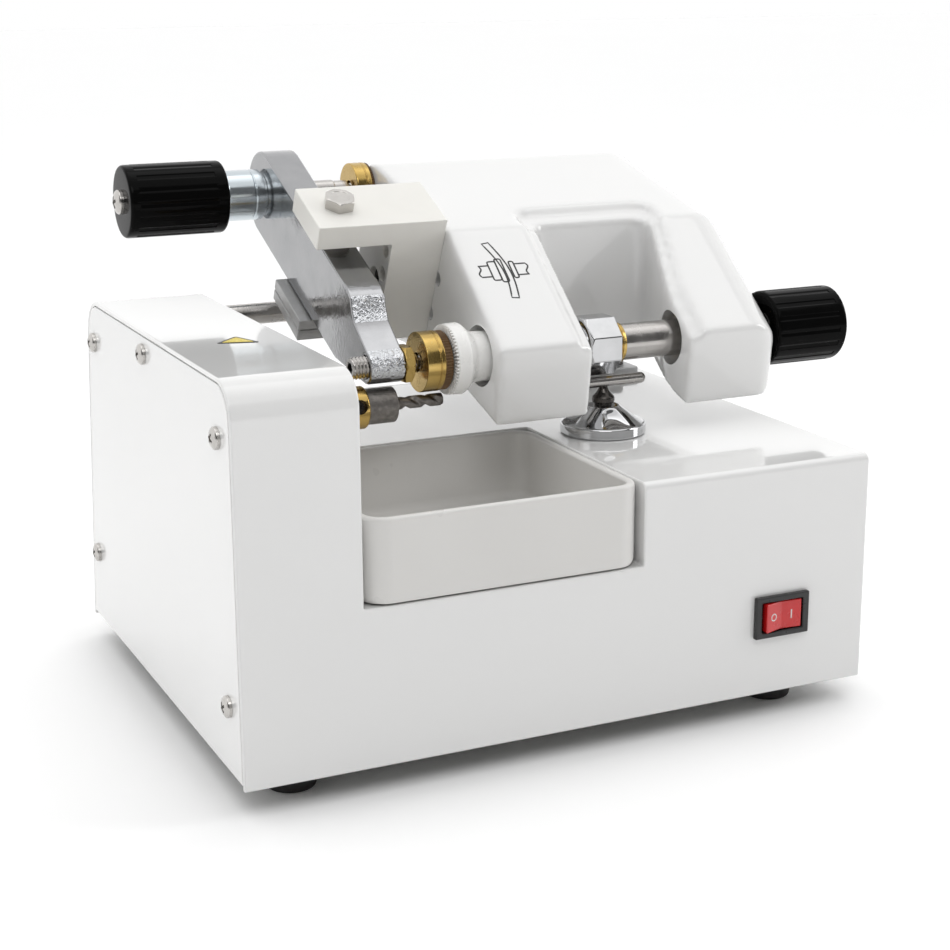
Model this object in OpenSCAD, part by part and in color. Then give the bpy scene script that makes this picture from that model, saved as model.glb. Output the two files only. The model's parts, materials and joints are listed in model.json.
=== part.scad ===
/* [Base] */
// Width of the base from side to side
base_w = 230; // [226:1:236]
// Depth of the base at its bottom edge
base_d = 187; // [185:1:192]
// Height of the low deck above the bottom edge
deck_z = 82; // [80:0.5:84]
// Height of the tall left box above the bottom edge
box_z = 128.5; // [127:0.5:131]
// Width of the tall left box
box_w = 41; // [40:0.5:42]
// Height of the rubber feet
foot_h = 9; // [8:0.5:14]

/* [Tray] */
// Front to back depth of the tray recess
recess_d = 87; // [80:1:90]
// Height of the recess floor above the bottom edge
recess_z = 53.5; // [50:0.5:56]

/* [Working axes] */
// Distance of the lens shaft, the cutter and the tracer behind the front panel
axis_y = 69.2; // [69:0.1:69.4]
// Height of the cutter and of the tracer pin
cutter_z = 100.6; // [100.2:0.1:100.8]
// Height of the lens shaft
lens_z = 114.4; // [114.2:0.1:115]
// Tilt of the clamp lever and its bracket
lever_tilt = 25; // [24:0.5:26]

/* [Head] */
// Left face of the head casting
head_x = 113; // [112.8:0.1:113.2]
// Right face of the head casting
head_end = 228; // [226:0.5:229]
// Distance of the pivot rod behind the front panel
pivot_y = 156; // [155:0.5:157]
// Height of the pivot rod
pivot_z = 119.6; // [119:0.1:120.5]

/* [Hidden] */
$fn = 64;

// Where the frame's origin lies: middle of the whole machine, on the surface it stands on
origin_x = 128.3;
origin_y = 92.4;

// Sheet metal
wall = 1.6;
seam = 0.2;
rim = 12;
rear_lean = 8.13;
box_front_r = 12;
box_rear_r = 14;
deck_r = 2.5;
recess_x = [box_w, 140.5];
side_screws = [[161, 113], [93, 121], [13, 110], [12, 24.5], [173, 29]];
foot_spots = [[22, 20], [204, 20], [22, 160], [204, 160]];
gusset = 15;

// Controls on the panels
switch_at = [195, 28.6];
inlet_at = [176, 34];
inlet_screw_x = 20;

// Drive train
motor_y = 128;
motor_z = 42;
motor_r = 30;
motor_x = [34, 104];
pulley_x = 10;
pulley_w = 10;
spindle_pulley_r = 12;
motor_pulley_r = 8;
belt_t = 2;
belt_w = 6;
spindle_r = 4;
bearing_r = 11;
bush_x = 69.2;
set_x = 65.6;
set_turn = 14;

// Head outline in the Y-Z plane, walls and bores
arm_front = [56, 91.5];
arm_fold = [52, 119];
top_fold = [96, 155];
top_back = [164, 172.5];
back_r = 18;
head_back = 184;
head_wall = 5;
arm_left_end = 150;
arm_right_start = 189;
web_y = 104;
window_flare = 10;
step_w = 5;
step_d = 3;
shaft_r = 6;
bush_r = 9;
run = 0.05;
pivot_r = 4;
rim_x = 99.9;
collar_x = 151.9;
collar_w = 12.5;
ring_end = 168.1;
post_x = [196, 210];
post_screw_x = [190, 216];

// Tracer on the deck, under the former plate
dial_x = 162.5;

// Clamp lever, in its own tilted plane: u runs up the lever, w across it
lever_x = [70, 83];
lever_len = 113.5;
lever_r = 16;
boss_r = 6;
bolt_x = 76.5;
bolt_u = 55.5;
flange_u = [42, 68.5];
flange_top = 29.4;
flange_t = 9;
bracket_x = [64.6, head_x];
leg_x = 93;
leg_low = -20.8;
plate_u = [51, 79];
plate_w = [-24.2, -15.6];
bracket_holes = [[61.5, 13], [52, 0.2]];
spare_holes = [[46.6, 15.5], [46.2, 5.7]];
knob_x = [15.8, 53.7];
knob_y = axis_y + lever_len * cos(lever_tilt);
knob_z = lens_z + lever_len * sin(lever_tilt);

function arc(cx, cy, r, a0, a1, n = 10) =
    [for (i = [0:n]) [cx + r * cos(a0 + (a1 - a0) * i / n), cy + r * sin(a0 + (a1 - a0) * i / n)]];

// Rear face: leans forward with height
function rear_y(z) = base_d - z * tan(rear_lean);

// Centre of the rounded rear top corner of the tall box
function rear_corner_y() = base_d - box_rear_r / cos(rear_lean) - (box_z - box_rear_r) * tan(rear_lean);

// Outline of the tall box, inset by t, with its bottom edge at z0
function box_outline(t, z0) = concat(
    [[t, z0]],
    arc(box_front_r, box_z - box_front_r, box_front_r - t, 180, 90),
    arc(rear_corner_y(), box_z - box_rear_r, box_rear_r - t, 90, rear_lean),
    [[rear_y(z0) - t / cos(rear_lean), z0]]);

// Outline of the low part under the deck, inset by t
function deck_outline(t, z0) = concat(
    [[t, z0]],
    arc(deck_r + max(t - deck_r, 0), deck_z - max(deck_r, t), max(deck_r - t, 0.01), 180, 90, 4),
    [[rear_y(deck_z - t) - t / cos(rear_lean), deck_z - t], [rear_y(z0) - t / cos(rear_lean), z0]]);

// Moves a sub-part from the workshop frame (left face, front panel, bottom edge) to the origin
module place() {
    translate([-origin_x, -origin_y, foot_h]) children();
}

// Extrudes a Y-Z outline along X from x0 to x1
module along_x(x0, x1) {
    translate([x0, 0, 0]) rotate([90, 0, 90]) linear_extrude(x1 - x0) children();
}

// Round bar along X
module bar_x(x0, x1, y, z, r) {
    translate([x0, y, z]) rotate([0, 90, 0]) cylinder(h = x1 - x0, r = r);
}

// Round bar along X on the lens shaft's axis
module on_lens(x0, x1, r) {
    bar_x(x0, x1, axis_y, lens_z, r);
}

// Round bar along X on the cutter's axis
module on_cutter(x0, x1, r) {
    bar_x(x0, x1, axis_y, cutter_z, r);
}

// Places children in the lever's tilted plane: x stays, y becomes u, z becomes w
module tilted() {
    translate([0, axis_y, lens_z]) rotate([lever_tilt, 0, 0]) children();
}

// Pan-head screw along +X: head at the left, shank running right from x = 0
module side_screw(head_r, head_h, shank_r, shank_l) {
    rotate([0, 90, 0]) cylinder(h = shank_l, r = shank_r);
    intersection() {
        translate([-head_h, 0, 0]) rotate([0, 90, 0]) cylinder(h = head_h, r = head_r);
        translate([head_r * 1.1, 0, 0]) sphere(r = head_r * 1.1 + head_h);
    }
}

// Places children on the leaning rear face, at height z, with local -Z going into the base
module on_rear(x, z) {
    translate([x, rear_y(z), z]) rotate([rear_lean - 90, 0, 0]) mirror([0, 1, 0]) children();
}

module recess_hole() {
    translate([recess_x[0], -1, recess_z]) cube([recess_x[1] - recess_x[0], recess_d + 1, 100]);
}

module recess_skin() {
    translate([recess_x[0] - wall, -1, recess_z - wall])
        cube([recess_x[1] - recess_x[0] + 2 * wall, recess_d + 1 + wall, 100]);
}

module shell_outside() {
    along_x(0, box_w) polygon(box_outline(0, 0));
    along_x(box_w - 1, base_w) polygon(deck_outline(0, 0));
}

// Clear space inside the sheet metal, above the bottom rim
module shell_inside() {
    along_x(2 * wall, box_w - wall) polygon(box_outline(wall, 2 * wall));
    along_x(box_w - wall - 1, base_w - wall) polygon(deck_outline(wall, 2 * wall));
}

// Openings for the side cover and the bottom plate, with a screw rim behind each
module shell_mouths() {
    along_x(-1, wall) polygon(box_outline(wall, -1));
    along_x(-1, 2 * wall + 1) polygon(box_outline(rim, rim));
    translate([wall, wall, -1]) cube([base_w - 2 * wall, rear_y(0) - 2 * wall - 0.3, 1 + wall]);
    difference() {
        translate([rim, rim, -1]) cube([base_w - 2 * rim, rear_y(0) - 2 * rim, 2 * wall + 2]);
        for (p = foot_spots) translate([p[0] - gusset, p[1] - gusset, wall])
            cube([2 * gusset, 2 * gusset, 9]);
    }
}

module shell_holes() {
    translate([switch_at[0] - 9.7, -1, switch_at[1] - 6.6]) cube([19.4, 4, 13.2]);
    on_rear(inlet_at[0], inlet_at[1]) {
        translate([-13.8, -10, -4]) cube([27.6, 20, 8]);
        for (s = [-1, 1]) translate([s * inlet_screw_x, 0, -4]) cylinder(h = 8, r = 1.6);
    }
    bar_x(box_w - 3, box_w + 1, axis_y, cutter_z, 9);
    bar_x(box_w - 3, box_w + 1, pivot_y, pivot_z, 4.3);
    translate([dial_x, axis_y, deck_z - 4]) cylinder(h = 6, r = 5.2);
    for (x = post_screw_x) translate([x, pivot_y, deck_z - 4]) cylinder(h = 6, r = 2.1);
    for (p = side_screws) bar_x(0, 5, p[0], p[1], 2.05);
    for (p = foot_spots) translate([p[0], p[1], 0]) cylinder(h = 5, r = 2.1);
}

module base_shell() {
    color("white") place() difference() {
        shell_outside();
        difference() {
            shell_inside();
            recess_skin();
        }
        recess_hole();
        shell_mouths();
        shell_holes();
    }
}

module side_cover() {
    color("white") place() difference() {
        along_x(0, wall) polygon(box_outline(wall + seam, wall + seam));
        for (p = side_screws) bar_x(-1, 3, p[0], p[1], 2.05);
    }
}

module side_cover_screws() {
    color("silver") place()
        for (p = side_screws) translate([0, p[0], p[1]]) side_screw(3.6, 2.4, 1.95, 8);
}

module bottom_plate() {
    color("lightgray") place() difference() {
        translate([wall + 0.3, wall + 0.3, 0])
            cube([base_w - 2 * wall - 0.6, rear_y(0) - 2 * wall - 1, wall]);
        for (p = foot_spots) translate([p[0], p[1], -1]) cylinder(h = 4, r = 2.1);
    }
}

module rubber_feet() {
    color("black") place() for (p = foot_spots) translate([p[0], p[1], -foot_h]) difference() {
        cylinder(h = foot_h, r1 = 8.2, r2 = 9.5);
        translate([0, 0, -1]) cylinder(h = 5, r = 4.4);
        cylinder(h = foot_h + 1, r = 2.1);
    }
}

module foot_screws() {
    color("silver") place() for (p = foot_spots) translate([p[0], p[1], -foot_h]) {
        translate([0, 0, 2]) cylinder(h = 2, r = 3.8);
        translate([0, 0, 4]) cylinder(h = foot_h + 3.2, r = 2);
        translate([0, 0, foot_h + 2 * wall]) cylinder(h = 3, r = 4, $fn = 6);
    }
}

module blank_label() {
    color("gold") place() translate([23, 63.5, box_z])
        linear_extrude(0.25) polygon([[-7.2, -1.6], [6.7, -5.4], [2.3, 7.5]]);
}

module switch_housing() {
    color("black") place() translate([switch_at[0], 0, switch_at[1]]) difference() {
        union() {
            translate([-10.75, -2, -7.5]) cube([21.5, 2, 15]);
            translate([-9.6, 0, -6.5]) cube([19.2, 14, 13]);
            for (x = [-6, 0, 6]) translate([x - 0.4, 14, -3]) cube([0.8, 7, 6]);
        }
        translate([-8.3, -3, -5.4]) cube([16.6, 9, 10.8]);
    }
}

// Rocker: pivots about X' through its middle, slightly V-shaped in front
module switch_rocker() {
    color("red") place() translate([switch_at[0], 0, switch_at[1]]) difference() {
        translate([0, 0, -5.1]) linear_extrude(10.2)
            polygon([[-7.3, -3.3], [0, -1.1], [7.8, -1.7], [7.8, 0.4], [3, 3.6], [-3, 3.6], [-7.3, -0.2]]);
        translate([0, 0, -6]) cylinder(h = 12, r = 0.5);
    }
}

module power_inlet() {
    color("black") place() on_rear(inlet_at[0], inlet_at[1]) difference() {
        union() {
            linear_extrude(2.4) polygon([[-25, -5], [-14, -11.2], [14, -11.2], [25, -5],
                [25, 5], [14, 11.2], [-14, 11.2], [-25, 5]]);
            translate([-13.5, -9.7, -22]) cube([27, 19.4, 22]);
        }
        translate([0, 0, -16]) linear_extrude(20)
            polygon([[-11.8, -7.8], [11.8, -7.8], [11.8, 4], [8, 7.8], [-8, 7.8], [-11.8, 4]]);
        for (s = [-1, 1]) translate([s * inlet_screw_x, 0, -1]) cylinder(h = 5, r = 1.6);
    }
}

module inlet_screws() {
    color("silver") place() on_rear(inlet_at[0], inlet_at[1])
        for (s = [-1, 1]) translate([s * inlet_screw_x, 0, 0]) {
            translate([0, 0, -6]) cylinder(h = 8.4, r = 1.5);
            translate([0, 0, 2.4]) cylinder(h = 1.6, r1 = 2.9, r2 = 2);
        }
}

module motor_body() {
    color("dimgray") place() difference() {
        union() {
            bar_x(motor_x[0], motor_x[1], motor_y, motor_z, motor_r);
            bar_x(motor_x[1], motor_x[1] + 5, motor_y, motor_z, 12);
        }
        bar_x(motor_x[0] - 1, motor_x[1] - 6, motor_y, motor_z, 6.1);
    }
}

module motor_bracket() {
    color("gray") place() difference() {
        union() {
            translate([motor_x[0] - 3, motor_y - 32, 3 * wall]) cube([3, 64, 68]);
            translate([motor_x[0] - 3, motor_y - 32, 2 * wall]) cube([40, 64, wall]);
        }
        bar_x(motor_x[0] - 5, motor_x[0] + 1, motor_y, motor_z, 11);
        for (s = [-1, 1]) bar_x(motor_x[0] - 5, motor_x[0] + 1, motor_y + s * 20, motor_z, 2.1);
        translate([motor_x[0] + 2, motor_y, motor_z]) rotate([0, 90, 0]) cylinder(h = 40, r = motor_r + 0.4);
    }
}

module motor_screws() {
    color("silver") place() for (s = [-1, 1]) {
        bar_x(motor_x[0] - 5.4, motor_x[0] - 3, motor_y + s * 20, motor_z, 3.6);
        bar_x(motor_x[0] - 3, motor_x[0], motor_y + s * 20, motor_z, 2);
    }
}

module motor_shaft() {
    color("silver") place() bar_x(6, motor_x[1] - 8, motor_y, motor_z, 4);
}

// Flanged belt pulley with a shaft hole
module pulley(y, z, r) {
    difference() {
        union() {
            bar_x(pulley_x, pulley_x + pulley_w, y, z, r);
            bar_x(pulley_x, pulley_x + 1.2, y, z, r + 2.8);
            bar_x(pulley_x + pulley_w - 1.2, pulley_x + pulley_w, y, z, r + 2.8);
        }
        bar_x(pulley_x - 1, pulley_x + pulley_w + 1, y, z, 4.01);
    }
}

module motor_pulley() {
    color("silver") place() pulley(motor_y, motor_z, motor_pulley_r);
}

module spindle_pulley() {
    color("silver") place() pulley(axis_y, cutter_z, spindle_pulley_r);
}

// Outline of a belt round both pulleys, at distance t outside their grooves
function belt_outline(t) =
    let (dy = axis_y - motor_y, dz = cutter_z - motor_z)
    let (way = atan2(dz, dy), lean = acos((motor_pulley_r - spindle_pulley_r) / norm([dy, dz])))
    concat(arc(motor_y, motor_z, motor_pulley_r + t, way + lean, way - lean + 360, 24),
        arc(axis_y, cutter_z, spindle_pulley_r + t, way - lean, way + lean, 24));

module drive_belt() {
    color("black") place() along_x(pulley_x + 2, pulley_x + 2 + belt_w) difference() {
        polygon(belt_outline(0.3 + belt_t));
        polygon(belt_outline(0.3));
    }
}

module spindle_housing() {
    color("gray") place() difference() {
        union() {
            on_cutter(22, box_w - wall, 16);
            translate([box_w - wall - 4, axis_y - 22, cutter_z - 16]) cube([4, 44, 32]);
        }
        on_cutter(21, box_w, bearing_r + 0.01);
    }
}

module spindle_bearings() {
    color("silver") place() for (x = [23, box_w - wall - 7.2]) difference() {
        on_cutter(x, x + 7, bearing_r);
        on_cutter(x - 1, x + 8, spindle_r + run);
    }
}

module spindle_shaft() {
    color("silver") place() on_cutter(6, 56, spindle_r);
}

module cutter_collar() {
    color("goldenrod") place() difference() {
        on_cutter(box_w + 1, bush_x, 7.4);
        on_cutter(box_w, bush_x + 1, spindle_r + 0.01);
        translate([set_x, axis_y, cutter_z]) rotate([90 - set_turn, 0, 0]) cylinder(h = 9, r = 2.5);
    }
}

module collar_set_screw() {
    color("black") place() translate([set_x, axis_y, cutter_z]) rotate([90 - set_turn, 0, 0])
        translate([0, 0, 4.1]) difference() {
            cylinder(h = 1.6, r = 2.45);
            translate([0, 0, 0.6]) cylinder(h = 3, r = 1.2, $fn = 6);
        }
}

module cutter_bush() {
    color("dimgray") place() difference() {
        union() {
            on_cutter(57, bush_x, spindle_r);
            on_cutter(bush_x, bush_x + 10.8, 6.2);
        }
        on_cutter(70, 81, 1.61);
    }
}

// End mill: four flutes on a round shank
module milling_cutter() {
    color("slategray") place() difference() {
        union() {
            on_cutter(71, 81.5, 1.6);
            on_cutter(81.5, 98.3, 2.2);
        }
        for (a = [0:90:270]) translate([83.5, axis_y, cutter_z]) rotate([a, 0, 0])
            translate([0, 0, 2.3]) rotate([0, 90, 0]) cylinder(h = 16, r = 0.75, $fn = 24);
    }
}

module swarf_tray() {
    x0 = recess_x[0] + 0.8;
    x1 = recess_x[1] - 0.8;
    color("whitesmoke") place() translate([x0, -0.8, recess_z + 0.2]) difference() {
        tray_block(x1 - x0, recess_d - 0.4, 28.4, 9);
        translate([3, 3, 3]) tray_block(x1 - x0 - 6, recess_d - 6.4, 28.4, 6.5);
    }
}

// Box with round upright corners
module tray_block(lx, ly, lz, r) {
    translate([r, 0, 0]) cube([lx - 2 * r, ly, lz]);
    translate([0, r, 0]) cube([lx, ly - 2 * r, lz]);
    for (x = [r, lx - r], y = [r, ly - r]) translate([x, y, 0]) cylinder(h = lz, r = r);
}

// Fluted cone on a round rim that screws the tracer up and down
module size_dial() {
    color("silver") place() translate([dial_x, axis_y, deck_z + 0.1]) difference() {
        union() {
            cylinder(h = 4, r = 15.6);
            translate([0, 0, 4]) cylinder(h = 5.9, r1 = 14.8, r2 = 5.8);
        }
        translate([0, 0, -1]) cylinder(h = 20, r = 3.3);
        for (a = [0:45:315]) rotate([0, 0, a + 10]) translate([15, 0, 5]) rotate([0, -57, 0])
            cylinder(h = 14, r = 2.2, $fn = 24);
    }
}

module tracer_cone() {
    color("black") place() translate([dial_x, axis_y, 0]) difference() {
        union() {
            translate([0, 0, deck_z - 16]) cylinder(h = 29, r = 3.25);
            translate([0, 0, deck_z + 11.2]) cylinder(h = 1.6, r = 4.2);
            translate([0, 0, deck_z + 12.8]) cylinder(h = 3.4, r1 = 4.2, r2 = 1.6);
            translate([0, 0, deck_z + 16.2]) cylinder(h = cutter_z - deck_z - 16.2, r = 1.6);
        }
        translate([-20, 0, cutter_z]) rotate([0, 90, 0]) cylinder(h = 40, r = 2.06);
    }
}

module tracer_pin() {
    color("silver") place() {
        on_cutter(150.6, 177.6, 2.05);
        translate([177.6, axis_y, cutter_z]) sphere(r = 2.05);
    }
}

// Head casting: side outline of the whole head
function head_outline() = concat(
    [arm_front, arm_fold, top_fold],
    arc(head_back - back_r, top_back[1] - back_r, back_r, 105, 0),
    [[head_back, 118], [168, 106.5], [web_y, 106.5]]);

// Hollow under the head: follows the outline one wall inside it
function hollow_outline() = concat(
    [[web_y + head_wall, 100], [web_y + head_wall, 152]],
    arc(head_back - back_r, top_back[1] - back_r, back_r - head_wall, 105, 0),
    [[head_back - head_wall, 100]]);

// Prism that rounds the right-hand edge of a face: starts at p, runs l along slope a
module edge_round(p, a, l, r) {
    translate([head_end, p[0], p[1]]) rotate([a, 0, 0]) rotate([-90, 0, 0]) translate([-r, 0, -8])
        linear_extrude(l + 16) difference() {
            translate([0, -1]) square([r + 1, r + 1]);
            translate([0, r]) circle(r = r);
        }
}

// Gap between the arms seen from above: its right side opens out towards the rear
function window_plan(side, back) = [
    [arm_left_end - side, 0], [arm_right_start + side, 0], [arm_right_start + side, axis_y],
    [arm_right_start + window_flare + side, web_y], [arm_right_start + window_flare + side, web_y + back],
    [arm_left_end - side, web_y + back]];

// Shallow step round the gap, sunk below the head's sloping faces
module window_step() {
    slope = (top_fold[1] - arm_fold[1]) / (top_fold[0] - arm_fold[0]);
    rise = (top_back[1] - top_fold[1]) / (top_back[0] - top_fold[0]);
    intersection() {
        along_x(arm_left_end - 20, arm_right_start + 40) polygon([
            [40, arm_fold[1] - 12 * slope - step_d], [top_fold[0], top_fold[1] - step_d],
            [140, top_fold[1] + (140 - top_fold[0]) * rise - step_d], [140, 200], [40, 200]]);
        translate([0, 0, 60]) linear_extrude(140) polygon(window_plan(step_w, step_w + 1.5));
    }
}

module head_casting() {
    slope_arm = atan2(arm_fold[1] - arm_front[1], arm_fold[0] - arm_front[0]);
    slope_front = atan2(top_fold[1] - arm_fold[1], top_fold[0] - arm_fold[0]);
    slope_top = atan2(top_back[1] - top_fold[1], top_back[0] - top_fold[0]);
    color("white") place() difference() {
        along_x(head_x, head_end) polygon(head_outline());
        edge_round(arm_front, slope_arm, 28, 8);
        edge_round(arm_fold, slope_front, 57, 12);
        edge_round(top_fold, slope_top, 84, 12);
        translate([0, 0, 60]) linear_extrude(120) polygon(window_plan(0, 0));
        window_step();
        difference() {
            along_x(head_x + head_wall, head_end - head_wall - 3) polygon(hollow_outline());
            for (x = [head_x, head_end - 12]) bar_x(x, x + 12, pivot_y, pivot_z, 11);
        }
        bar_x(head_x - 1, head_end + 1, pivot_y, pivot_z, 6);
        on_lens(head_x - 1, head_x + 9, 10.85);
        on_lens(head_x, arm_left_end + 1, bush_r + 0.02);
        on_lens(arm_right_start - 1, arm_right_start + 11, 10);
        on_lens(arm_right_start, head_end + 1, bush_r + 0.02);
        tilted() for (p = bracket_holes) translate([head_x - 1, p[0], p[1]]) rotate([0, 90, 0])
            cylinder(h = 7, r = 2.5);
    }
}

module pivot_bushes() {
    color("goldenrod") place() for (x = [head_x, head_end - 12]) difference() {
        bar_x(x, x + 11.5, pivot_y, pivot_z, 5.99);
        bar_x(x - 1, x + 13, pivot_y, pivot_z, pivot_r + run);
    }
}

module shaft_bushes() {
    color("goldenrod") place() difference() {
        union() {
            on_lens(head_x + 9.2, arm_left_end - 1, bush_r);
            on_lens(arm_right_start + 11.2, head_end - 1, bush_r);
        }
        on_lens(head_x, head_end, shaft_r + run);
    }
}

module pivot_rod() {
    color("silver") place() bar_x(22, head_end - 1, pivot_y, pivot_z, pivot_r);
}

module pivot_rod_block() {
    color("gray") place() difference() {
        translate([27, pivot_y - 7, pivot_z - 14]) cube([box_w - wall - 27, 14, 18.8]);
        bar_x(26, box_w, pivot_y, pivot_z, pivot_r + 0.01);
    }
}

module pivot_post() {
    color("gray") place() difference() {
        union() {
            along_x(post_x[0], post_x[1]) union() {
                translate([pivot_y - 7, deck_z + 4]) square([14, pivot_z - deck_z - 4]);
                translate([pivot_y, pivot_z]) circle(r = 9);
            }
            translate([post_x[0] - 12, pivot_y - 9, deck_z]) cube([post_x[1] - post_x[0] + 24, 18, 4]);
        }
        bar_x(post_x[0] - 1, post_x[1] + 1, pivot_y, pivot_z, pivot_r + 0.01);
        for (x = post_screw_x) translate([x, pivot_y, deck_z - 1]) cylinder(h = 6, r = 2.1);
    }
}

module pivot_post_screws() {
    color("silver") place() for (x = post_screw_x) translate([x, pivot_y, deck_z + 4]) {
        translate([0, 0, -12]) cylinder(h = 12, r = 2);
        difference() {
            cylinder(h = 4, r = 3.5);
            translate([0, 0, 2]) cylinder(h = 3, r = 1.7, $fn = 6);
        }
    }
}

module pivot_collars() {
    color("silver") place() for (x = [head_x - 9.3, 126]) difference() {
        bar_x(x, x + 9, pivot_y, pivot_z, 8);
        bar_x(x - 1, x + 10, pivot_y, pivot_z, pivot_r + 0.01);
        translate([x + 4.5, pivot_y, pivot_z]) cylinder(h = 10, r = 1.5);
    }
}

// C-shaped holder of the lever: top flange and a deep leg against the head's left face
module lever_bracket() {
    color("ivory") place() tilted() difference() {
        union() {
            translate([bracket_x[0], flange_u[0], flange_top - flange_t])
                cube([bracket_x[1] - bracket_x[0], flange_u[1] - flange_u[0], flange_t]);
            translate([leg_x, flange_u[0], leg_low])
                cube([bracket_x[1] - leg_x, flange_u[1] - flange_u[0], flange_top - leg_low - 1]);
        }
        translate([bolt_x, bolt_u, flange_top - flange_t - 1]) cylinder(h = 20, r = 3.1);
        for (p = bracket_holes) translate([leg_x - 1, p[0], p[1]]) rotate([0, 90, 0]) {
            cylinder(h = 8, r = 4.1);
            cylinder(h = 30, r = 2.6);
        }
        for (p = spare_holes) translate([leg_x - 1, p[0], p[1]]) rotate([0, 90, 0])
            cylinder(h = 12, r = 2.7);
    }
}

module fulcrum_plate() {
    color("gray") place() tilted() difference() {
        translate([66, plate_u[0], plate_w[0]])
            cube([leg_x - 66, plate_u[1] - plate_u[0], plate_w[1] - plate_w[0]]);
        translate([bolt_x, bolt_u, plate_w[0] - 1]) cylinder(h = 20, r = 3.01);
    }
}

module bracket_screws() {
    color("dimgray") place() tilted() for (p = bracket_holes) translate([leg_x + 2, p[0], p[1]])
        rotate([0, 90, 0]) difference() {
            union() {
                cylinder(h = 5, r = 4);
                cylinder(h = 23, r = 2.45);
            }
            translate([0, 0, -1]) cylinder(h = 3.4, r = 2, $fn = 6);
        }
}

module fulcrum_bolt() {
    color("silver") place() tilted() translate([bolt_x, bolt_u, 0]) {
        translate([0, 0, flange_top]) rotate([0, 0, 12]) cylinder(h = 4, r = 5.77, $fn = 6);
        translate([0, 0, plate_w[0]]) cylinder(h = flange_top - plate_w[0], r = 3);
    }
}

module fulcrum_spacer() {
    color("silver") place() tilted() translate([bolt_x, bolt_u, lever_r + 0.3]) difference() {
        cylinder(h = flange_top - flange_t - lever_r - 0.3, r = 6);
        translate([0, 0, -1]) cylinder(h = 10, r = 3.02);
    }
}

module lens_shaft() {
    color("silver") place() union() {
        on_lens(head_x + 2, head_end + 16, shaft_r);
        on_lens(ring_end, arm_right_start + 10.8, 6.6);
    }
}

// White plastic chuck: stem, coned shoulder and a rim of grip teeth
module chuck_cup() {
    teeth = 40;
    color("white") place() difference() {
        union() {
            on_lens(rim_x + 5, head_x + 8.8, 8.5);
            translate([rim_x + 5, axis_y, lens_z]) rotate([0, 90, 0]) cylinder(h = 4, r1 = 12.5, r2 = 9);
            on_lens(rim_x, rim_x + 5, 12.5);
            for (i = [0:teeth - 1]) translate([rim_x - 0.8, axis_y, lens_z]) rotate([i * 360 / teeth, 0, 0])
                translate([0, -0.45, 9.4]) cube([1, 0.9, 2.9]);
        }
        on_lens(rim_x - 1, rim_x + 2.9, 9);
        on_lens(head_x + 1.99, head_x + 10, shaft_r + 0.01);
    }
}

module pattern_hub() {
    color("silver") place() difference() {
        on_lens(arm_left_end + 0.4, collar_x, 7.6);
        on_lens(arm_left_end, collar_x + 1, shaft_r + 0.01);
    }
}

module pattern_collar() {
    color("silver") place() difference() {
        intersection() {
            translate([collar_x, axis_y, lens_z]) rotate([22.5, 0, 0]) rotate([0, 90, 0])
                cylinder(h = collar_w, r = 11.2, $fn = 8);
            union() {
                translate([collar_x, axis_y, lens_z]) rotate([0, 90, 0])
                    cylinder(h = 1.4, r1 = 9.8, r2 = 11.3);
                on_lens(collar_x + 1.4, collar_x + collar_w, 11.3);
            }
        }
        on_lens(collar_x - 1, collar_x + collar_w + 1, shaft_r + 0.01);
    }
}

module pattern_ring() {
    color("goldenrod") place() difference() {
        on_lens(collar_x + collar_w, ring_end, 7.6);
        on_lens(collar_x, ring_end + 1, shaft_r + 0.01);
    }
}

// Knob grip along X with shallow finger flutes that start short of one end
module fluted_grip(x0, x1, r, y, z, n, f0, f1) {
    difference() {
        bar_x(x0, x1, y, z, r);
        for (i = [0:n - 1]) translate([f0, y, z]) rotate([i * 360 / n, 0, 0])
            translate([0, 0, r + 0.5]) rotate([0, 90, 0]) cylinder(h = f1 - f0, r = 1.1, $fn = 16);
    }
}

module turning_knob() {
    color("black") place() difference() {
        fluted_grip(head_end + 0.6, 259, 14, axis_y, lens_z, 24, head_end, 256);
        on_lens(head_end, head_end + 16, shaft_r + 0.01);
    }
}

// Points of the lever's side outline in its tilted plane
function lever_outline() = concat(
    arc(0, 0, boss_r, 250, 80, 8),
    [[9, 7.6], [14, 8.6], [17.5, 11.5], [20, 14.8], [24.5, lever_r]],
    arc(lever_len, 0, lever_r, 90, -90, 24), [[25, -14]]);

module clamp_lever() {
    color("silver") place() tilted() difference() {
        along_x(lever_x[0], lever_x[1]) polygon(lever_outline());
        translate([bolt_x, bolt_u, -30]) cylinder(h = 60, r = 3 + run);
        translate([lever_x[0] - 1, 0, 0]) rotate([0, 90, 0]) cylinder(h = 20, r = 4.01);
        translate([lever_x[0] - 1, lever_len, 0]) rotate([0, 90, 0]) cylinder(h = 20, r = 4 + run);
    }
}

module clamp_screw() {
    color("dimgray") place() difference() {
        on_lens(64.6, 88.2, 4);
        translate([64, axis_y, lens_z]) rotate([0, 90, 0]) cylinder(h = 5, r = 2.3, $fn = 6);
    }
}

module clamp_lock_nut() {
    color("goldenrod") place() difference() {
        translate([lever_x[1], axis_y, lens_z]) rotate([0, 90, 0]) cylinder(h = 3.5, r = 7, $fn = 6);
        on_lens(lever_x[1] - 1, 90, 4.01);
    }
}

// Swivel that lets the clamp disc stay square to the lens
module clamp_ball() {
    color("silver") place() {
        on_lens(88.6, 91.3, 2.2);
        translate([91.9, axis_y, lens_z]) sphere(r = 3.2);
    }
}

module clamp_disc() {
    color("goldenrod") place() difference() {
        on_lens(89.2, 95.9, 10.5);
        on_lens(88, 95.4, 3.35);
    }
}

module clamp_pad() {
    color("saddlebrown") place() difference() {
        on_lens(95.9, 98.7, 10.3);
        on_lens(97.1, 99, 6);
    }
}

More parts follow.
